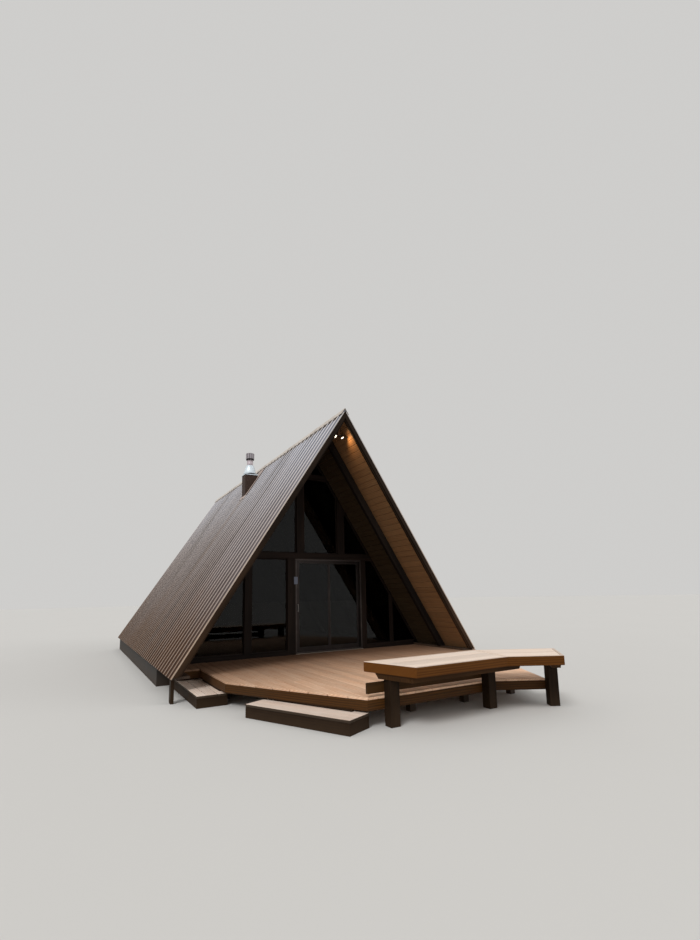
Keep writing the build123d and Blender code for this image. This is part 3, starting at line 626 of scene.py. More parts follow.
def dressRidge():
    # a hemmed lip along both edges of the cap, lap joints every three metres and screws in every rib
    r = ridgeCap
    lips = []
    joints = np.array(r["joints"])
    for sideName, side in (("left", -1), ("right", 1)):
        place = slopeFrame(side, 0.0)
        apex, down, outwards = place
        hem = box(r["lipStart"], r["lipEnd"], cabin["roofFront"] + r["endInset"],
                  cabin["roofRear"] - r["endInset"]) * [1, side]
        laps = box(r["jointStart"], r["jointEnd"], side * joints, side * (joints + r["jointWidth"]))
        lips += [(hem, *place, r["lipLow"], r["lipHigh"], 1),
                 (laps, *place, r["jointLow"], r["jointHigh"], 1)]
        places = apex + r["screwPlace"] * down + r["screwFoot"] * outwards + ribRows[:, None] * [0, 1.0, 0]
        scattered(sideName + "_ridge_screws", sheetScrew, places, down, outwards, fastener)
    planks("ridge_folds", lips, ridgeMetal, chamfer=0.001)


dressRidge()
print("roof sheet done")

# Lining boards, roof core, barge boards and rafters

liningBoards = {"pitch": 0.135, "gap": 0.005, "lengths": (3.66, 4.27, 3.05), "front": -1.834, "rear": 8.202,
                "firstRow": 0.028, "lastRow": 5.6998, "thickness": 0.018, "firstCut": (0.9, 3.6),
                "lastCut": 0.5, "joint": 0.0006}
# the lining darkens from behind the outer rafter inwards: a painted shade of the porch roof
soffitTimber = timber("soffitTimber", ((146, 111, 76), (112, 81, 54), (132, 106, 78)), 0.2, 0.3, 0.55,
                      vary=0.4, shine=0.15, paintedShade=((0.24, 0.3, 0.36, 1), 1, -1.25, -0.85))
insideTimber = timber("insideTimber", ((112, 80, 52), (80, 55, 35), (100, 78, 56)), 0.2, 0.3, 0.55)
coreTimber = timber("coreTimber", ((150, 116, 78), (104, 74, 46), (120, 104, 86)), 0.3, 0.4, 0.75,
                    along=alongY)


def liningFor(side, name):
    # rows of boards along the roof, each row cut into lengths that start at a different place
    r = liningBoards
    rowCount = round((r["lastRow"] - r["firstRow"]) / r["pitch"])
    edges = np.linspace(r["firstRow"], r["lastRow"], rowCount + 1)
    outlines = []
    for low, high in zip(edges[:-1], edges[1:]):
        cuts = r["front"] + rng.uniform(*r["firstCut"]) + np.arange(4) * rng.choice(r["lengths"])
        cuts = cuts[cuts < r["rear"] - r["lastCut"]]
        starts, ends = np.append(r["front"], cuts + r["joint"]), np.append(cuts - r["joint"], r["rear"])
        outlines.append(box(starts, ends, side * (low + r["gap"] / 2), side * (high - r["gap"] / 2)))
    apex, _, outwards = slopeFrame(side, cabin["coreBottom"])
    boards = (np.concatenate(outlines), apex, (0, 1, 0), -outwards, 0.0, r["thickness"], 0)
    piece = planks(name + "_lining_boards", [boards], soffitTimber, chamfer=0.005)
    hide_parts(name + "_lining")


for sideName, sideSign in (("left", -1), ("right", 1)):
    liningFor(sideSign, sideName)
    slopeTurn = alongSlope[sideName]
    # paler at the foot and darker up the slope: painted light on the lower barge boards
    bargeTimber = timber("barge" + sideName.title(), bargeStain, 0.3, 0.2, along=slopeTurn, shine=0.08,
                         paintedShade=((0.4, 0.43, 0.47, 1), 2, 0.6, 2.8))
    rafterTimber = timber("rafter" + sideName.title(), charcoal, 0.2, 0.3, along=slopeTurn, shine=0.08)
    softened("front_" + sideName + "_barge_board", bargeTimber)
    softened("rear_" + sideName + "_barge_board", bargeTimber)
    softened(sideName + "_rafters", rafterTimber, 0.004)
    softened(sideName + "_rake_frame", rafterTimber, 0.002)
    dress(sideName + "_roof_core", coreTimber)
print("roof timber done")

# Front wall: rows of panes are bottom, top and the sides of each pane, before the raked frames cut them

frontWall = {
    "rows": ((0.46, 2.46, ((-3.2, -1.478), (-1.322, -0.507), (1.538, 2.25), (2.31, 3.2))),
             (2.595, 4.35, ((-2.0, -0.283), (-0.093, 0.771), (0.961, 2.0))),
             (4.46, 5.4, ((-1.0, 1.0),))),
    "beadWidth": 0.02, "beadDepth": 0.016, "paneHalf": 0.012,
}
postTimber = timber("postTimber", darkStain, 0.25, 0.3, along=upright, shine=0.1)
beamTimber = timber("beamTimber", darkStain, 0.25, 0.3, along=alongX, shine=0.1)
beadTimber = timber("beadTimber", darkStain, 0.2, 0.0, shine=0.1)
for nodeName in ("facade_beam", "upper_bar", "window_sills"):
    softened(nodeName, beamTimber)
for nodeName in ("lower_posts", "upper_mullions"):
    softened(nodeName, postTimber)


def cutBy(corners, normal, offset):
    # the part of a convex outline where normal . p <= offset
    kept = []
    for here, there in zip(corners, corners[1:] + corners[:1]):
        a = normal[0] * here[0] + normal[1] * here[1] - offset
        b = normal[0] * there[0] + normal[1] * there[1] - offset
        if a <= 1e-9:
            kept.append(here)
        if (a < -1e-9 and b > 1e-9) or (a > 1e-9 and b < -1e-9):
            share = a / (a - b)
            kept.append((here[0] + share * (there[0] - here[0]), here[1] + share * (there[1] - here[1])))
    return kept


def paneBeads():
    # four mitred beads on both faces of every pane, whose rectangle the two raked frames cut off
    wall = frontWall
    near, far = wall["paneHalf"], wall["paneHalf"] + wall["beadDepth"]
    reach = layerPeak(cabin["rakeBottom"]) * slopeCosine
    beads = []
    for low, high, bays in wall["rows"]:
        for left, right in bays:
            corners = box(left, right, low, high)[0].tolist()
            for side in (-1, 1):
                corners = cutBy(corners, (side * slopeSine, slopeCosine), reach)
            outlines = rim(corners, wall["beadWidth"])
            beads += [(outlines, *facingFront, near, far, 0), (outlines, *facingFront, -far, -near, 0)]
    planks("glazing_beads", beads, beadTimber, chamfer=0.003)


def glassMaterial(name, tint):
    # tinted glass with faint rain marks in its roughness and its tint
    material, tree = newMaterial(name)
    tint = paint(*tint)
    marks = coordinates(tree).stretched(6.0, 6.0, 1.2).noise(2.0, 5.0, 0.65)
    return painted(material, {
        "Base Color": marks.span(0.3, 0.8).mix(tint, dimmed(tint, 0.8)), "Specular IOR Level": 0.25,
        "Roughness": marks.span(0.55, 0.85, 0.0, 0.012), "Transmission Weight": 1.0, "IOR": 1.3})


paneBeads()
glazing = glassMaterial("glazing", (96, 102, 102))
for nodeName in ("lower_panes", "upper_panes", "sliding_door_glass", "fixed_door_glass"):
    dress(nodeName, glazing)
print("front wall done")

# Patio door

patioDoor = {"gasketWidth": 0.007, "gasketDepth": 0.004, "thresholdInset": 0.004, "thresholdDepth": 0.042,
             "thresholdRise": 0.016, "clearance": 0.0005}


def anodised(name, base, worn, roughness=0.38):
    # brushed and anodised: very fine lines up and down, rubbed paler in patches
    material, tree = newMaterial(name)
    base, worn = paint(*base), paint(*worn)
    place = coordinates(tree)
    lines = place.stretched(420.0, 420.0, 7.0).noise(1.0, 2.0)
    colour = place.noise(4.0, 6.0, 0.7).span(0.5, 0.78, 0.0, 0.6).mix(base, worn)
    return painted(material, {
        "Base Color": (lines * 0.25).mix(colour, worn), "Metallic": 0.75,
        "Roughness": lines.span(0.3, 0.7, roughness - 0.06, roughness + 0.1),
        "Normal": lines.relief(0.15, 0.0006)})


doorMetal = anodised("doorMetal", (62, 56, 54), (98, 90, 86))
leafMetal = anodised("leafMetal", (42, 37, 36), (70, 63, 60))
handleMetal = anodised("handleMetal", (112, 108, 106), (160, 156, 152), 0.3)
thresholdMetal = anodised("thresholdMetal", (150, 138, 126), (196, 184, 172))
gasketRubber = rubber("gasketRubber", (26, 25, 25))
softened("door_frame", doorMetal, 0.0015)
softened("fixed_door_frame", leafMetal, 0.002)
softened("sliding_door_frame", leafMetal, 0.002, "sliding_door")
softened("sliding_door_handle", handleMetal, 0.004, "sliding_door")


def doorThreshold():
    # a flat metal strip on the deck along the foot of the door frame
    d = patioDoor
    low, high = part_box("door_frame")
    strip = box(low.x + d["thresholdInset"], high.x - d["thresholdInset"], low.y - d["thresholdDepth"],
                low.y - d["clearance"])
    foot, top = cabin["floor"] + d["clearance"], cabin["floor"] + d["thresholdRise"]
    planks("door_threshold", [(strip, *inPlan, foot, top, 0)], thresholdMetal, 0.004)


def gaskets(name, node, body):
    # a thin seal all round a leaf's pane, on both faces
    low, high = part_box(node)
    depth = patioDoor["gasketDepth"]
    outlines = rim(box(low.x, high.x, low.z, high.z)[0], patioDoor["gasketWidth"])
    planks(name, [(outlines, *facingFront, -low.y, -low.y + depth, 0),
                  (outlines, *facingFront, -high.y - depth, -high.y, 0)],
           gasketRubber, 0.001, body)


doorThreshold()
gaskets("sliding_door_gaskets", "sliding_door_glass", "sliding_door")
gaskets("fixed_door_gaskets", "fixed_door_glass", "cabin")
print("patio door done")

# Deck

deck = {
    "left": -2.5448, "back": -0.88, "sideEnd": -2.515, "front": -4.72, "bevelX": -1.4018,
    "frontRight": 0.760, "wingX": 1.4248, "wingY": -5.104, "right": 3.824, "under": 0.332, "top": 0.36,
    "pitch": 0.145, "gap": 0.008, "fasciaBottom": 0.205, "fasciaThickness": 0.038, "joistStep": 0.6,
    "joistRows": 9, "joistStart": 0.0225, "splitFrom": 2.2, "splitShare": 0.6, "shortest": 0.5,
    "joint": 0.0015, "narrowest": 0.01, "screwInset": 0.048, "screwSink": 0.0012, "screwFrom": 0.02,
    "screwTo": 0.005, "screwWidth": 0.11,
}
# darker from the front edge back to the glass wall: a painted shade of the roof, and also the sheltered
# boards bleached less
deckTimber = timber("deckTimber", ((253, 211, 177), (212, 163, 128), (233, 205, 179)), 0.45, 0.25, 0.66,
                    vary=0.6, paintedShade=((0.22, 0.18, 0.15, 1), 1, -4.7, -0.7))
fasciaTimber = timber("fasciaTimber", ((86, 52, 16), (48, 28, 8), (66, 46, 22)), 0.3, 0.35, 0.6,
                      dirt=0.3, reach=0.3, shine=0.15)
screwMetal = galvanised("screwMetal", (96, 84, 72), (58, 46, 38), 0.45, 0.6, 80.0)


def deckFrontAt(x):
    # y of the deck's front edge at x, on straight lines between its corners
    return np.interp(x, [deck["left"], deck["bevelX"], deck["frontRight"], deck["wingX"], deck["right"]],
                     [deck["sideEnd"], deck["front"], deck["front"], deck["wingY"], deck["back"]])


def deckPlanks():
    # boards run front to back; many are made up of two lengths that meet on a joist
    d = deck
    groups = []
    knots = (d["bevelX"], d["frontRight"], d["wingX"])
    inner, wall = cabin["foundationInner"], cabin["wallFront"]
    zones = [(-inner, d["left"], d["back"], wall), (d["left"], inner, deckFrontAt, wall),
             (inner, d["right"], deckFrontAt, d["back"])]
    for start, end, lower, backLine in zones:
        whole = strips(start, end, d["pitch"], d["gap"], lower, backLine, knots)
        near = whole[:, :3, 1].max(1)
        run = whole[:, 3:, 1].min(1) - near
        joint = wall - d["joistStart"] - d["joistStep"] * rng.integers(2, 6, len(whole))
        split = (run > d["splitFrom"]) & (rng.random(len(whole)) < d["splitShare"])
        split &= (joint > near + d["shortest"]) & (joint < backLine - d["shortest"])
        front, back = whole[split].copy(), whole[split].copy()
        front[:, 3:, 1] = joint[split][:, None] - d["joint"]
        back[:, :3, 1] = joint[split][:, None] + d["joint"]
        groups.append(np.concatenate([whole[~split], front, back]))
    outlines = np.concatenate(groups)[:, :, ::-1] * [1, -1]
    boards = outlines[np.abs(outlines[:, :3, 0] - outlines[:, 3:, 0]).min(1) > d["narrowest"]]
    piece = planks("deck_planks", [(boards, *lengthwise, d["under"], d["top"], 0)], deckTimber,
                   0.004)
    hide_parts("deck_boards")
    joists = wall - d["joistStart"] - d["joistStep"] * np.arange(d["joistRows"])
    lines = np.concatenate([-boards[:, 1, 1] - d["screwInset"], -boards[:, 1, 1] + d["screwInset"]])
    rows, across = np.meshgrid(joists, lines)
    nearEnd = np.tile(boards[:, :3, 0].max(1), 2)[:, None]
    farEnd = np.tile(boards[:, 3:, 0].min(1), 2)[:, None]
    kept = (rows > nearEnd + d["screwFrom"]) & (rows < farEnd - d["screwTo"])
    kept &= np.tile(np.abs(boards[:, 0, 1] - boards[:, 2, 1]) > d["screwWidth"], 2)[:, None]
    places = np.stack([across[kept], rows[kept], np.full(kept.sum(), d["top"] - d["screwSink"])], 1)
    scattered("deck_screws", screwShape(0.0046, 0.003, 0.0016), places, (1, 0, 0), (0, 0, 1), screwMetal)


def deckEdge():
    # mitred boards in plan along every open edge of the deck: p + t (n1 + n2) / (1 + n1 . n2)
    inner = cabin["foundationInner"]
    path = np.array([(-inner, cabin["wallFront"]), (-inner, deck["back"]), (deck["left"], deck["back"]),
                     (deck["left"], deck["sideEnd"]), (deck["bevelX"], deck["front"]),
                     (deck["frontRight"], deck["front"]), (deck["wingX"], deck["wingY"]),
                     (deck["right"], deck["back"]), (inner, deck["back"]), (inner, cabin["wallFront"])])
    run = np.diff(path, axis=0)
    run /= np.linalg.norm(run, axis=1, keepdims=True)
    left = np.stack([-run[:, 1], run[:, 0]], 1)
    first = np.concatenate([left[:1], left])
    second = np.concatenate([left, left[-1:]])
    drawn = path + deck["fasciaThickness"] * (first + second) / (1 + (first * second).sum(1, keepdims=True))
    groups = []
    for k in range(len(run)):
        corners = np.array([path[k], path[k + 1], drawn[k + 1], drawn[k]]) - path[k]
        outline = np.stack([corners @ run[k], corners @ left[k]], 1)
        groups.append((outline[None], (*path[k], 0), (*run[k], 0), (0, 0, 1), deck["fasciaBottom"],
                       deck["under"], 0))
    piece = planks("deck_fascia_boards", groups, fasciaTimber, 0.003)
    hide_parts("deck_fascia")


deckPlanks()
deckEdge()
print("deck done")

# Bench

bench = {"top": 0.76, "under": 0.633, "depth": 0.825, "thickness": 0.038, "mitre": math.radians(15),
         "back": -4.46, "left": -1.2838, "length": 1.9758, "wing": 0.76, "boards": 5, "gap": 0.006,
         "margin": 0.003}
mitreTangent = math.tan(bench["mitre"])
benchTopTimber = timber("benchTopTimber", ((246, 228, 212), (204, 180, 161), (234, 222, 211)), 0.5, 0.25,
                        0.68, vary=0.7)
apronTimber = timber("apronTimber", ((246, 228, 212), (180, 156, 136), (234, 222, 211)), 0.22, 0.3, 0.58,
                     shine=0.08, edge=(0.148, 0.064, 0.013, 1))
benchPost = timber("benchPost", postStain, 0.3, 0.4, along=upright, dirt=0.5, shine=0.08)
benchBearer = timber("benchBearer", ((70, 44, 19), (40, 24, 10), (60, 42, 24)), knots=0.3, along=alongX,
                     shine=0.1)
benchRail = timber("benchRail", ((68, 44, 18), (40, 25, 10), (60, 42, 24)), knots=0.3, along=alongX,
                   shine=0.1)


def benchPiece(name, node, left, turn, length):
    # a mitred rim of deep boards round level boards that run lengthwise
    depth, thickness, margin = bench["depth"], bench["thickness"], bench["margin"]
    run = depth * mitreTangent
    outlines = rim([(0, 0), (length, 0), (length - run, -depth), (run, -depth)], thickness)
    place = (left, bench["back"], 0), (math.cos(turn), -math.sin(turn), 0), (0, 0, 1)
    low, high = -depth + thickness + margin, -thickness - margin

    def leftEnd(b):
        return -b * mitreTangent + thickness / math.cos(bench["mitre"]) + margin

    boards = strips(low, high, (high - low) / bench["boards"], bench["gap"], leftEnd,
                    lambda b: length - leftEnd(b))[:, :, ::-1]
    apron = planks(name + "_apron", [(outlines, *place, bench["under"], bench["top"], 0)], apronTimber,
                   0.004)
    planks(name + "_boards", [(boards, *place, bench["top"] - thickness, bench["top"], 0)], benchTopTimber,
           0.004)
    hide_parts(node)


benchPiece("bench", "bench_top", bench["left"], 0.0, bench["length"])
benchPiece("bench_wing", "bench_wing_top", bench["left"] + bench["length"], 2 * bench["mitre"],
           bench["wing"] + 2 * bench["depth"] * mitreTangent)
softened("bench_bearers", benchBearer, 0.004)
softened("bench_posts", benchPost, 0.005)
softened("bench_rail", benchRail, 0.004)
print("bench done")

# Steps

steps = {"height": 0.18, "thickness": 0.038, "boards": 3, "gap": 0.005, "tuck": 0.076, "battenTop": 0.205,
         "sideWidth": 0.461, "sideLength": 1.81, "sideX": -2.6993, "sideY": -1.485,
         "sideBatten": (-0.405, 0.705), "frontWidth": 0.42, "frontLength": 1.72, "frontShift": 1.607,
         "frontBatten": (-0.66, 0.66), "bevel": math.radians(27.4), "turn": math.radians(2.0)}
treadTimber = timber("treadTimber", ((238, 218, 202), (196, 168, 150), (224, 210, 198)), 0.6, 0.25, 0.7,
                     edge=(0.06, 0.045, 0.03, 1))
riserTimber = timber("riserTimber", ((46, 30, 16), (26, 16, 9), (50, 37, 25)), 0.4, 0.4, 0.66, dirt=0.6,
                     reach=0.2, shine=0.1)


def stepPiece(kind, centre, u):
    # level boards run lengthwise over a mitred box of upright boards; u runs along the step, and the
    # batten stands on its back edge under the deck
    name = kind + "_step"
    place = (centre, u, (0, 0, 1))
    top, thickness = steps["height"], steps["thickness"]
    halfLength, halfStep = steps[kind + "Length"] / 2, steps[kind + "Width"] / 2
    inside = strips(-halfStep, halfStep, 2 * halfStep / steps["boards"], steps["gap"], -halfLength,
                    halfLength)[:, :, ::-1]
    outlines = rim(box(-halfLength, halfLength, -halfStep, halfStep)[0], thickness)
    battenLine = halfStep - steps["tuck"]
    batten = box(*steps[kind + "Batten"], battenLine, battenLine + thickness)
    tread = planks(name + "_treads", [(inside, *place, top - thickness, top, 0)], treadTimber,
                   0.004)
    planks(name + "_risers", [(outlines, *place, 0.0, top - thickness - 0.001, 0),
                              (batten, *place, top, steps["battenTop"], 0)],
           riserTimber, 0.003)
    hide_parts(name)


alongBevel = np.array([math.sin(steps["bevel"]), -math.cos(steps["bevel"]), 0])
outBevel = np.array([-math.cos(steps["bevel"]), -math.sin(steps["bevel"]), 0])
frontCentre = (np.array([deck["left"], deck["sideEnd"], 0]) + alongBevel * steps["frontShift"]
               + outBevel * (steps["frontWidth"] / 2 - steps["tuck"]))
stepPiece("side", (steps["sideX"], steps["sideY"], 0), (0, -1, 0))
stepPiece("front", frontCentre, alongBevel * math.cos(steps["turn"]) + outBevel * math.sin(steps["turn"]))
print("steps done")

# Under the deck, sills, floor and rear wall

rearWall = {"boardPitch": 0.19, "boardGap": 0.006, "margin": 0.03, "foot": 0.04, "thickness": 0.019,
            "battenHalf": 0.021, "battenDepth": 0.018, "lining": 0.012, "floorPitch": 0.13,
            "floorGap": 0.002, "floorboard": 0.022}
dress("deck_joists", timber("roughTimber", underStain, 0.4, 0.5, along=alongX, dirt=0.3))
dress("sill_plates", timber("plateTimber", underStain, along=alongY))
softened("deck_piers", timber("pierTimber", underStain, 0.4, 0.5, along=upright, dirt=0.6),
         0.004)
softened("porch_post", benchPost, 0.003)
rearTimber = timber("rearTimber", rearStain, 0.35, 0.4, 0.62, dirt=0.25, reach=0.9)
floorTimber = timber("floorTimber", ((160, 112, 70), (104, 68, 42), (140, 112, 86)), 0.1, 0.2, 0.4)


def insideFloor():
    # floorboards from the glass wall to the rear wall
    low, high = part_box("floor")
    boards = strips(low.x, high.x, rearWall["floorPitch"], rearWall["floorGap"], low.y, high.y)
    boards = boards[:, :, ::-1] * [1, -1]
    thickness = rearWall["floorboard"]
    piece = planks("floor_boards", [(boards, *lengthwise, high.z - thickness, high.z, 0),
                                    (box(low.y, high.y, low.x, high.x), *lengthwise, low.z,
                                     high.z - thickness - 0.002, 0)], floorTimber, 0.001)
    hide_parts("floor")


def rearBoards():
    # upright boards under the two slopes, with a batten over every joint, outside and in
    r = rearWall
    reach = halfWidth(cabin["liningBottom"], cabin["eave"]) - r["margin"]
    foot = cabin["floor"] + r["foot"]

    def under(x):
        return cabin["ridge"] - (np.abs(x) + cabin["liningBottom"] / slopeSine) * slopeTangent

    boards = strips(-reach, reach, r["boardPitch"], r["boardGap"], foot, under, (0.0,))
    joints = (boards[1:, 0, 0] + boards[:-1, 2, 0]) / 2
    cross = np.stack([joints - r["battenHalf"], joints, joints + r["battenHalf"]], 1)
    battens = np.concatenate([np.stack([cross, np.full_like(cross, foot)], 2),
                              np.stack([cross, under(cross)], 2)[:, ::-1]], 1)
    low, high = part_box("rear_wall")
    face = high.y + r["thickness"]
    planks("rear_boards", [(boards * [-1, 1], *facingBack, high.y, face, 1),
                           (battens * [-1, 1], *facingBack, face, face + r["battenDepth"], 1)],
           rearTimber, 0.003)
    planks("rear_lining", [(boards, *facingFront, -low.y, -low.y + r["lining"], 1)], insideTimber,
           0.003)
    dress("rear_wall", timber("rearCore", rearStain, along=alongX))


def concrete(name, base, dark):
    # cast concrete: cloudy grey with pores, damp towards the ground
    material, tree = newMaterial(name)
    base, dark = paint(*base), paint(*dark)
    place = coordinates(tree)
    cloud = place.noise(1.6, 6.0, 0.6)
    pores = place.noise(85.0, 2.0).span(0.34, 0.27)
    colour = (pores * 0.6).mix(cloud.span(0.35, 0.7).mix(dark, base), dark)
    soiled = put(tree, "ShaderNodeGroup", "Color", {"Color": colour, "Reach": 0.3}, node_tree=groundDirt)
    return painted(material, {"Base Color": soiled, "Roughness": cloud.span(0.3, 0.7, 0.75, 0.95),
                              "Normal": (cloud - pores * 0.4).relief(0.5, 0.004)})


insideFloor()
rearBoards()
# dark, damp concrete, painted darker still as the shadow under the eaves
foundationConcrete = concrete("foundationConcrete", (54, 48, 43), (32, 28, 25))
dress("foundation_sides", foundationConcrete)
dress("foundation_ends", foundationConcrete)
print("rear wall and floor done")

# Chimney

chimney = {
    "middle": (-0.45, 2.823), "chaseTop": 5.04, "plate": (0.388, 0.328), "plateThickness": 0.024,
    "gapRadius": 0.156, "skirtGap": 0.03, "skirtRadius": 0.178, "shoulderRadius": 0.108,
    "neckRadius": 0.085, "coneHeight": 0.44, "shoulderShare": 0.6, "ringRadius": 0.112,
    "capRadius": 0.118, "capHeight": 0.182, "coreRadius": 0.09, "dome": 0.022, "staves": 11,
    "staveShare": 0.72, "staveDepth": 0.096, "flashInset": 0.014, "flashUp": 0.3, "flashDown": 0.11,
    "flashSide": 0.05, "flashFront": 0.12, "flashBack": 0.07, "flashSunk": 0.003, "flashRise": 0.0035,
}
flueSteel = galvanised("flueSteel", (226, 236, 242), (186, 198, 208), 0.36, 0.3, 9.0, 0.3)
neckSteel = galvanised("neckSteel", (196, 184, 188), (150, 138, 144), 0.42, 0.2, 12.0)
capSteel = galvanised("capSteel", (160, 154, 158), (116, 110, 116), 0.45, 0.2, 12.0, 0.5)
ringSteel = galvanised("ringSteel", (40, 37, 38), (22, 20, 21), 0.5, 0.4, 20.0, 0.5)
chaseMetal = sheetMetal("chaseMetal", (58, 44, 38), (66, 52, 46), 0.6)
flashing = sheetMetal("flashing", (168, 148, 138), (182, 164, 156), 0.5)


def chimneyPieces():
    # a flat plate with a thin bright edge, a two-part cone over a dark ring that is a painted shadow in the
    # gap under its skirt, a ring and a cap with fins; each turned piece has its foot, its metal and its
    # profile of (radius, height)
    c = chimney
    (x, y), level, cone = c["middle"], c["chaseTop"], c["coneHeight"]
    halfX, halfY = c["plate"][0] / 2, c["plate"][1] / 2
    foot = level + c["plateThickness"]
    outline = box(x - halfX, x + halfX, y - halfY, y + halfY)
    plate = planks("chimney_plate", [(outline, *inPlan, level, foot, 0)], flueSteel, 0.002)
    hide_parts("chimney_cone")
    gap, rise = c["skirtGap"], c["shoulderShare"] * cone
    skirt, shoulder, neck, edge = c["skirtRadius"], c["shoulderRadius"], c["neckRadius"], c["ringRadius"]
    radius, high, core = c["capRadius"], c["capHeight"], c["coreRadius"]
    capFoot = foot + cone
    ring = turned("chimney_ring", [(0.0, 0.0), (neck + 0.004, 0.0), (edge, 0.004), (edge, 0.02),
                                   (edge - 0.01, 0.026), (0.0, 0.026)],
                  (x, y, capFoot), ringSteel)
    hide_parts("chimney_cap")
    for name, start, metal, profile in (
            # the dark gap ring is a painted shadow under the cone's skirt
            ("gap", foot, ringSteel, [(0.0, 0.0), (c["gapRadius"], 0.0), (c["gapRadius"], gap + 0.004),
                                      (0.0, gap + 0.004)]),
            ("flue_cone", foot, flueSteel, [
                (0.15, gap), (skirt - 0.003, gap), (skirt, gap + 0.002), (skirt, gap + 0.012),
                (skirt - 0.005, gap + 0.015), (shoulder + 0.003, rise), (shoulder + 0.004, rise + 0.004),
                (shoulder - 0.002, rise + 0.009), (0.0, rise + 0.009)]),
            ("neck", foot, neckSteel, [(0.0, rise), (neck + 0.004, rise), (neck, rise + 0.05), (neck, cone),
                                       (0.0, cone)]),
            ("cap_core", capFoot, ringSteel, [(0.0, 0.024), (core, 0.024), (core, high - 0.004),
                                              (0.0, high - 0.004)]),
            ("cap_lid", capFoot, capSteel, [
                (0.0, high - 0.006), (radius - 0.002, high - 0.006), (radius, high - 0.004), (radius, high),
                (radius * 0.88, high + 0.008), (radius * 0.6, high + 0.015), (radius * 0.3, high + 0.02),
                (0.0, high + c["dome"])])):
        turned("chimney_" + name, profile, (x, y, start), metal, smooth=name != "gap")
    angle = np.arange(c["staves"]) * 2 * math.pi / c["staves"]
    outwards = np.column_stack([np.cos(angle), np.sin(angle), np.zeros(c["staves"])])
    aside = np.column_stack([-np.sin(angle), np.cos(angle), np.zeros(c["staves"])])
    half = c["staveShare"] * math.pi * radius / c["staves"]
    front = radius - 0.001
    bulge = front - half ** 2 / (2 * radius)
    depth = c["staveDepth"]
    section = [(-half, depth), (half, depth), (half, bulge), (0.0, front), (-half, bulge)]
    stave = np.array([(a, b, r) for b in (high - 0.007, 0.03) for a, r in section])
    rounds = [(k, (k + 1) % 5, (k + 1) % 5 + 5, k + 5) for k in range(5)]
    places = np.broadcast_to(np.array([x, y, capFoot]), outwards.shape)
    scattered("chimney_cap_staves", (stave, rounds + [(4, 3, 2, 1, 0), (5, 6, 7, 8, 9)]), places, aside,
              outwards, capSteel, weld=True)


def chimneyFlashing():
    # a dressed sheet round the foot of the chase, on the left slope, under folded edges
    c = chimney
    x, y = c["middle"]
    halfX, halfY = c["plate"][0] / 2 - c["flashInset"], c["plate"][1] / 2 - c["flashInset"]
    near, far = -(x + halfX) / slopeCosine, -(x - halfX) / slopeCosine
    front, back = -(y - halfY), -(y + halfY)
    edges = [box(near - c["flashUp"], near, back - c["flashSide"], front + c["flashFront"]),
             box(far, far + c["flashDown"], back - c["flashSide"], front + c["flashSide"]),
             box(near, far, back - c["flashBack"], back), box(near, far, front, front + c["flashFront"])]
    planks("chimney_flashing", [(np.concatenate(edges), *slopeFrame(-1, 0.0), -c["flashSunk"],
                                 c["flashRise"], 0)], flashing, 0.001)


softened("chimney_chase", chaseMetal, 0.002)
chimneyPieces()
chimneyFlashing()
print("chimney done")

# Twin lamp

lamp = {"y": -1.59, "plateBottom": 4.9086, "plateRadius": 0.034, "plateThickness": 0.014,
        "mouths": ((-0.0755, -1.63, 4.877), (0.084, -1.63, 4.87)), "turns": (40, 38), "tilts": (38, 56),
        "radius": 0.043, "length": 0.075, "taper": math.radians(15), "wall": 0.003, "lensDepth": 0.012,
        "lensRadius": 0.034, "neckRadius": 0.008, "ballRadius": 0.0155, "mountWidth": 0.056,
        "mountLength": 0.09, "power": 6.0, "spread": math.radians(150), "blend": 0.7, "softness": 0.02,
        "glow": (1.0, 0.62, 0.3)}
lampMetal = galvanised("lampMetal", (46, 42, 40), (26, 24, 23), 0.4, 0.3, 30.0, 0.3)
shadeLining = galvanised("shadeLining", (64, 58, 52), (40, 36, 33), 0.6, 0.1, 30.0, 0.2)


def glowing(name, middle, frosting, strength):
    # a lit lens: warm white in the middle, a little deeper in patches of its frosting
    material, tree = newMaterial(name)
    frost = coordinates(tree).noise(90.0, 2.0)
    glow = frost.span(0.4, 0.7).mix(middle, frosting)
    return painted(material, {"Base Color": glow, "Emission Color": glow, "Emission Strength": strength,
                              "Roughness": frost.span(0.3, 0.7, 0.3, 0.45)})


lensGlow = glowing("lensGlow", (1.0, 0.86, 0.66, 1), (1.0, 0.8, 0.56, 1), 4.0)


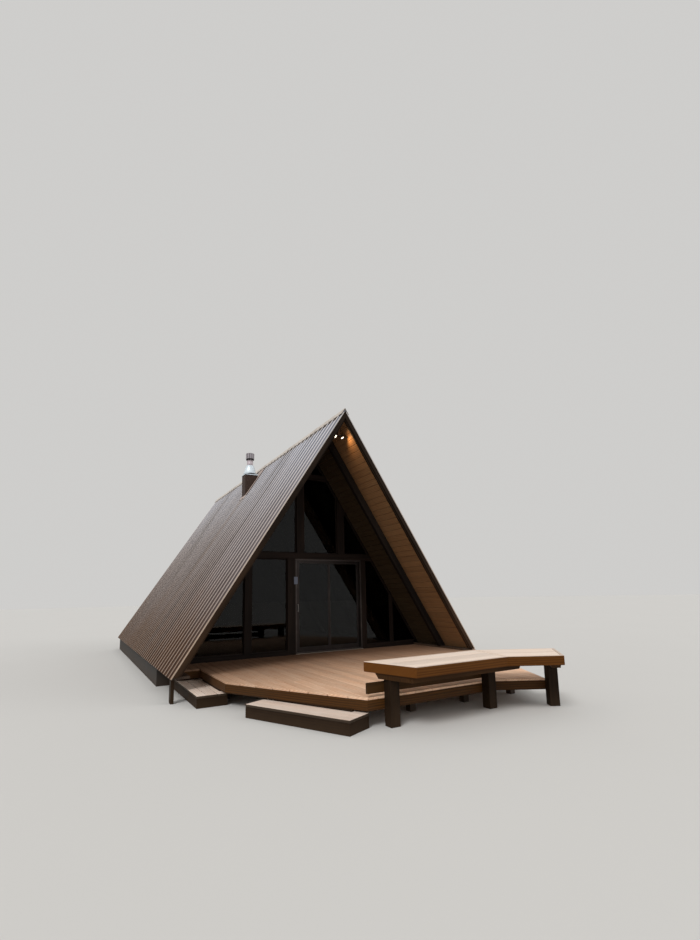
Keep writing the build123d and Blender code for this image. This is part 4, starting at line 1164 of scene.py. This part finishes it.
def lampHead(k, mouth, turn, tilt):
    # a ball on a short neck, and a hollow shade that widens to its lens; the aim comes from turn and tilt
    c = lamp
    length, front, wall, lensRadius = c["length"], c["radius"], c["wall"], c["lensRadius"]
    aim = np.array([math.sin(turn) * math.cos(tilt), -math.cos(turn) * math.cos(tilt), -math.sin(tilt)])
    back = np.array(mouth) - aim * length
    middle = c["plateBottom"] + c["plateThickness"] / 2
    start = np.array([(2 * k - 3) * c["plateRadius"] / 2, c["y"], middle])
    neck = back + aim * length * 0.4 - start
    reach = float(np.linalg.norm(neck)) * 0.55
    inner = front - length * math.tan(c["taper"])
    lens = length - c["lensDepth"]
    profiles = {
        "neck": [(0.0, 0.0), (c["neckRadius"], 0.0), (c["neckRadius"], reach), (0.0, reach)],
        "ball": [(c["ballRadius"] * math.sin(a), -c["ballRadius"] * math.cos(a))
                 for a in np.linspace(0, math.pi, 9)],
        "shade": [(0.0, 0.0), (inner * 0.7, 0.001), (inner - 0.002, 0.005), (inner + 0.002, 0.012),
                  (inner + 0.005, 0.026), (inner + 0.0045, 0.028), (inner + 0.0085, 0.038),
                  (front - 0.002, length - 0.004), (front, length - 0.002), (front - 0.001, length),
                  (front - wall, length - 0.001)],
        "lining": [(front - wall, length - 0.001), (front - wall - 0.003, lens),
                   (lensRadius, lens - 0.004)],
        "lens": [(0.0, lens - 0.012), (lensRadius, lens - 0.006), (lensRadius * 0.7, lens - 0.001),
                 (0.0, lens)],
    }
    for part, origin, material, axis, segments in (
            ("neck", start, lampMetal, neck, 16), ("ball", start + neck * 0.45, lampMetal, neck, 20),
            ("shade", back, lampMetal, aim, 40), ("lining", back, shadeLining, aim, 40),
            ("lens", back, lensGlow, aim, 40)):
        turned(f"lamp_{part}_{k}", profiles[part], origin, material, axis, segments)
    light = bpy.data.lights.new(f"lamp_light_{k}", "SPOT")
    light.energy = c["power"]
    light.color = c["glow"]
    light.shadow_soft_size = c["softness"]
    light.spot_size = c["spread"]
    light.spot_blend = c["blend"]
    shining = placed(light.name, light)
    shining.location = back + aim * (length + 0.01)
    shining.rotation_euler = Vector(aim).to_track_quat("-Z", "Y").to_euler()


def lampPieces():
    # a wedge-shaped block and a round plate with a rolled edge carry the two heads, which are turned to
    # the right and tilted down
    c = lamp
    level, radius = c["plateBottom"], c["plateRadius"]
    top = level + c["plateThickness"]
    half, run = c["mountWidth"] / 2, c["mountLength"] / 2
    peak = layerPeak(cabin["liningBottom"]) - 0.001
    shoulder = peak - half * slopeTangent
    block = [[(half, top), (half, shoulder), (0, peak), (-half, shoulder), (-half, top)]]
    mount = planks("lamp_block", [(block, *facingFront, -c["y"] - run, -c["y"] + run, 1)], insideTimber,
                   0.003)
    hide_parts("twin_lamp")
    turned("lamp_plate", [(0.0, level), (radius - 0.006, level + 0.0005), (radius, level + 0.004),
                          (radius, top - 0.003), (radius - 0.003, top), (0.0, top)], (0, c["y"], 0),
           lampMetal)
    for head in zip((1, 2), c["mouths"], np.radians(c["turns"]), np.radians(c["tilts"])):
        lampHead(*head)


lampPieces()

# Notice plate

notice = {"colour": (106, 114, 132), "screwInset": 0.011}
softened("notice_plate", rubber("noticePlastic", notice["colour"]), 0.0012)


def noticeScrews():
    # a screw near each corner of the bare plate
    low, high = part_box("notice_plate")
    inset = notice["screwInset"]
    places = np.array([(x, low.y, z) for x in (low.x + inset, high.x - inset)
                       for z in (low.z + inset, high.z - inset)])
    scattered("notice_screws", screwShape(0.0045, 0.0032, 0.0018, 8), places, (1, 0, 0), (0, -1, 0),
              screwMetal)


noticeScrews()
print("lamp and notice done")

# Floor, light and camera

studio = {"floorHalf": 140.0, "floorTone": (0.62, 0.61, 0.59, 1), "worldTone": (1.0, 0.99, 0.97, 1),
          "worldStrength": 0.62, "sunStrength": 1.5, "sunAngle": 22.0, "sunFrom": (-0.62, -0.42, 0.78),
          "fillStrength": 0.35, "fillAngle": 40.0, "fillFrom": (0.7, -0.5, 0.45)}
photo = {"place": (-4.585, -9.827, 1.609), "yaw": 30.344, "pitch": 8.574, "roll": -1.221, "lens": 17.97,
         "shiftY": 0.0585, "sensor": 36.0, "farthest": 400.0}


def studioFloor():
    # a wide level floor in two nearly equal tones
    half = studio["floorHalf"]
    mesh = bpy.data.meshes.new("studio_floor")
    mesh.from_pydata([(-half, -half, 0), (half, -half, 0), (half, half, 0), (-half, half, 0)], [],
                     [(0, 1, 2, 3)])
    mesh.update()
    piece = placed("studio_floor", mesh)
    material, tree = newMaterial("studioFloor")
    tone = studio["floorTone"]
    cloud = coordinates(tree).noise(0.3, 2.0)
    mesh.materials.append(painted(material, {"Base Color": cloud.mix(tone, dimmed(tone, 0.97)),
                                             "Roughness": 0.9}))


def sunFrom(name, direction, strength, angle):
    # a sun whose light comes from this direction
    light = bpy.data.lights.new(name, "SUN")
    light.energy = strength
    light.angle = math.radians(angle)
    sun = placed(name, light)
    sun.rotation_mode = "QUATERNION"
    sun.rotation_quaternion = Vector(direction).to_track_quat("Z", "Y")


def photoCamera():
    # the camera's axes from yaw, pitch and roll: forward W, right R0 and up U0 = R0 x W turned by the roll
    a, b, c = (math.radians(photo[key]) for key in ("yaw", "pitch", "roll"))
    forward = Vector((math.sin(a) * math.cos(b), math.cos(a) * math.cos(b), math.sin(b)))
    right0 = Vector((math.cos(a), -math.sin(a), 0))
    up0 = right0.cross(forward)
    right = right0 * math.cos(c) + up0 * math.sin(c)
    up = up0 * math.cos(c) - right0 * math.sin(c)
    camera = placed("photo_camera", bpy.data.cameras.new("photo_camera"))
    axes = Matrix((right, up, -forward)).transposed().to_4x4()
    camera.matrix_world = Matrix.Translation(photo["place"]) @ axes
    camera.data.sensor_width = photo["sensor"]
    camera.data.lens = photo["lens"]
    camera.data.shift_y = photo["shiftY"]
    camera.data.clip_end = photo["farthest"]
    bpy.context.scene.camera = camera


studioFloor()
sunFrom("key", studio["sunFrom"], studio["sunStrength"], studio["sunAngle"])
sunFrom("fill", studio["fillFrom"], studio["fillStrength"], studio["fillAngle"])
world = bpy.data.worlds.new("studio")
world.use_nodes = True
fill(world.node_tree, world.node_tree.nodes["Background"], {"Color": studio["worldTone"],
                                                            "Strength": studio["worldStrength"]})
bpy.context.scene.world = world
bpy.context.scene.view_settings.view_transform = "Standard"
photoCamera()
print("studio done")
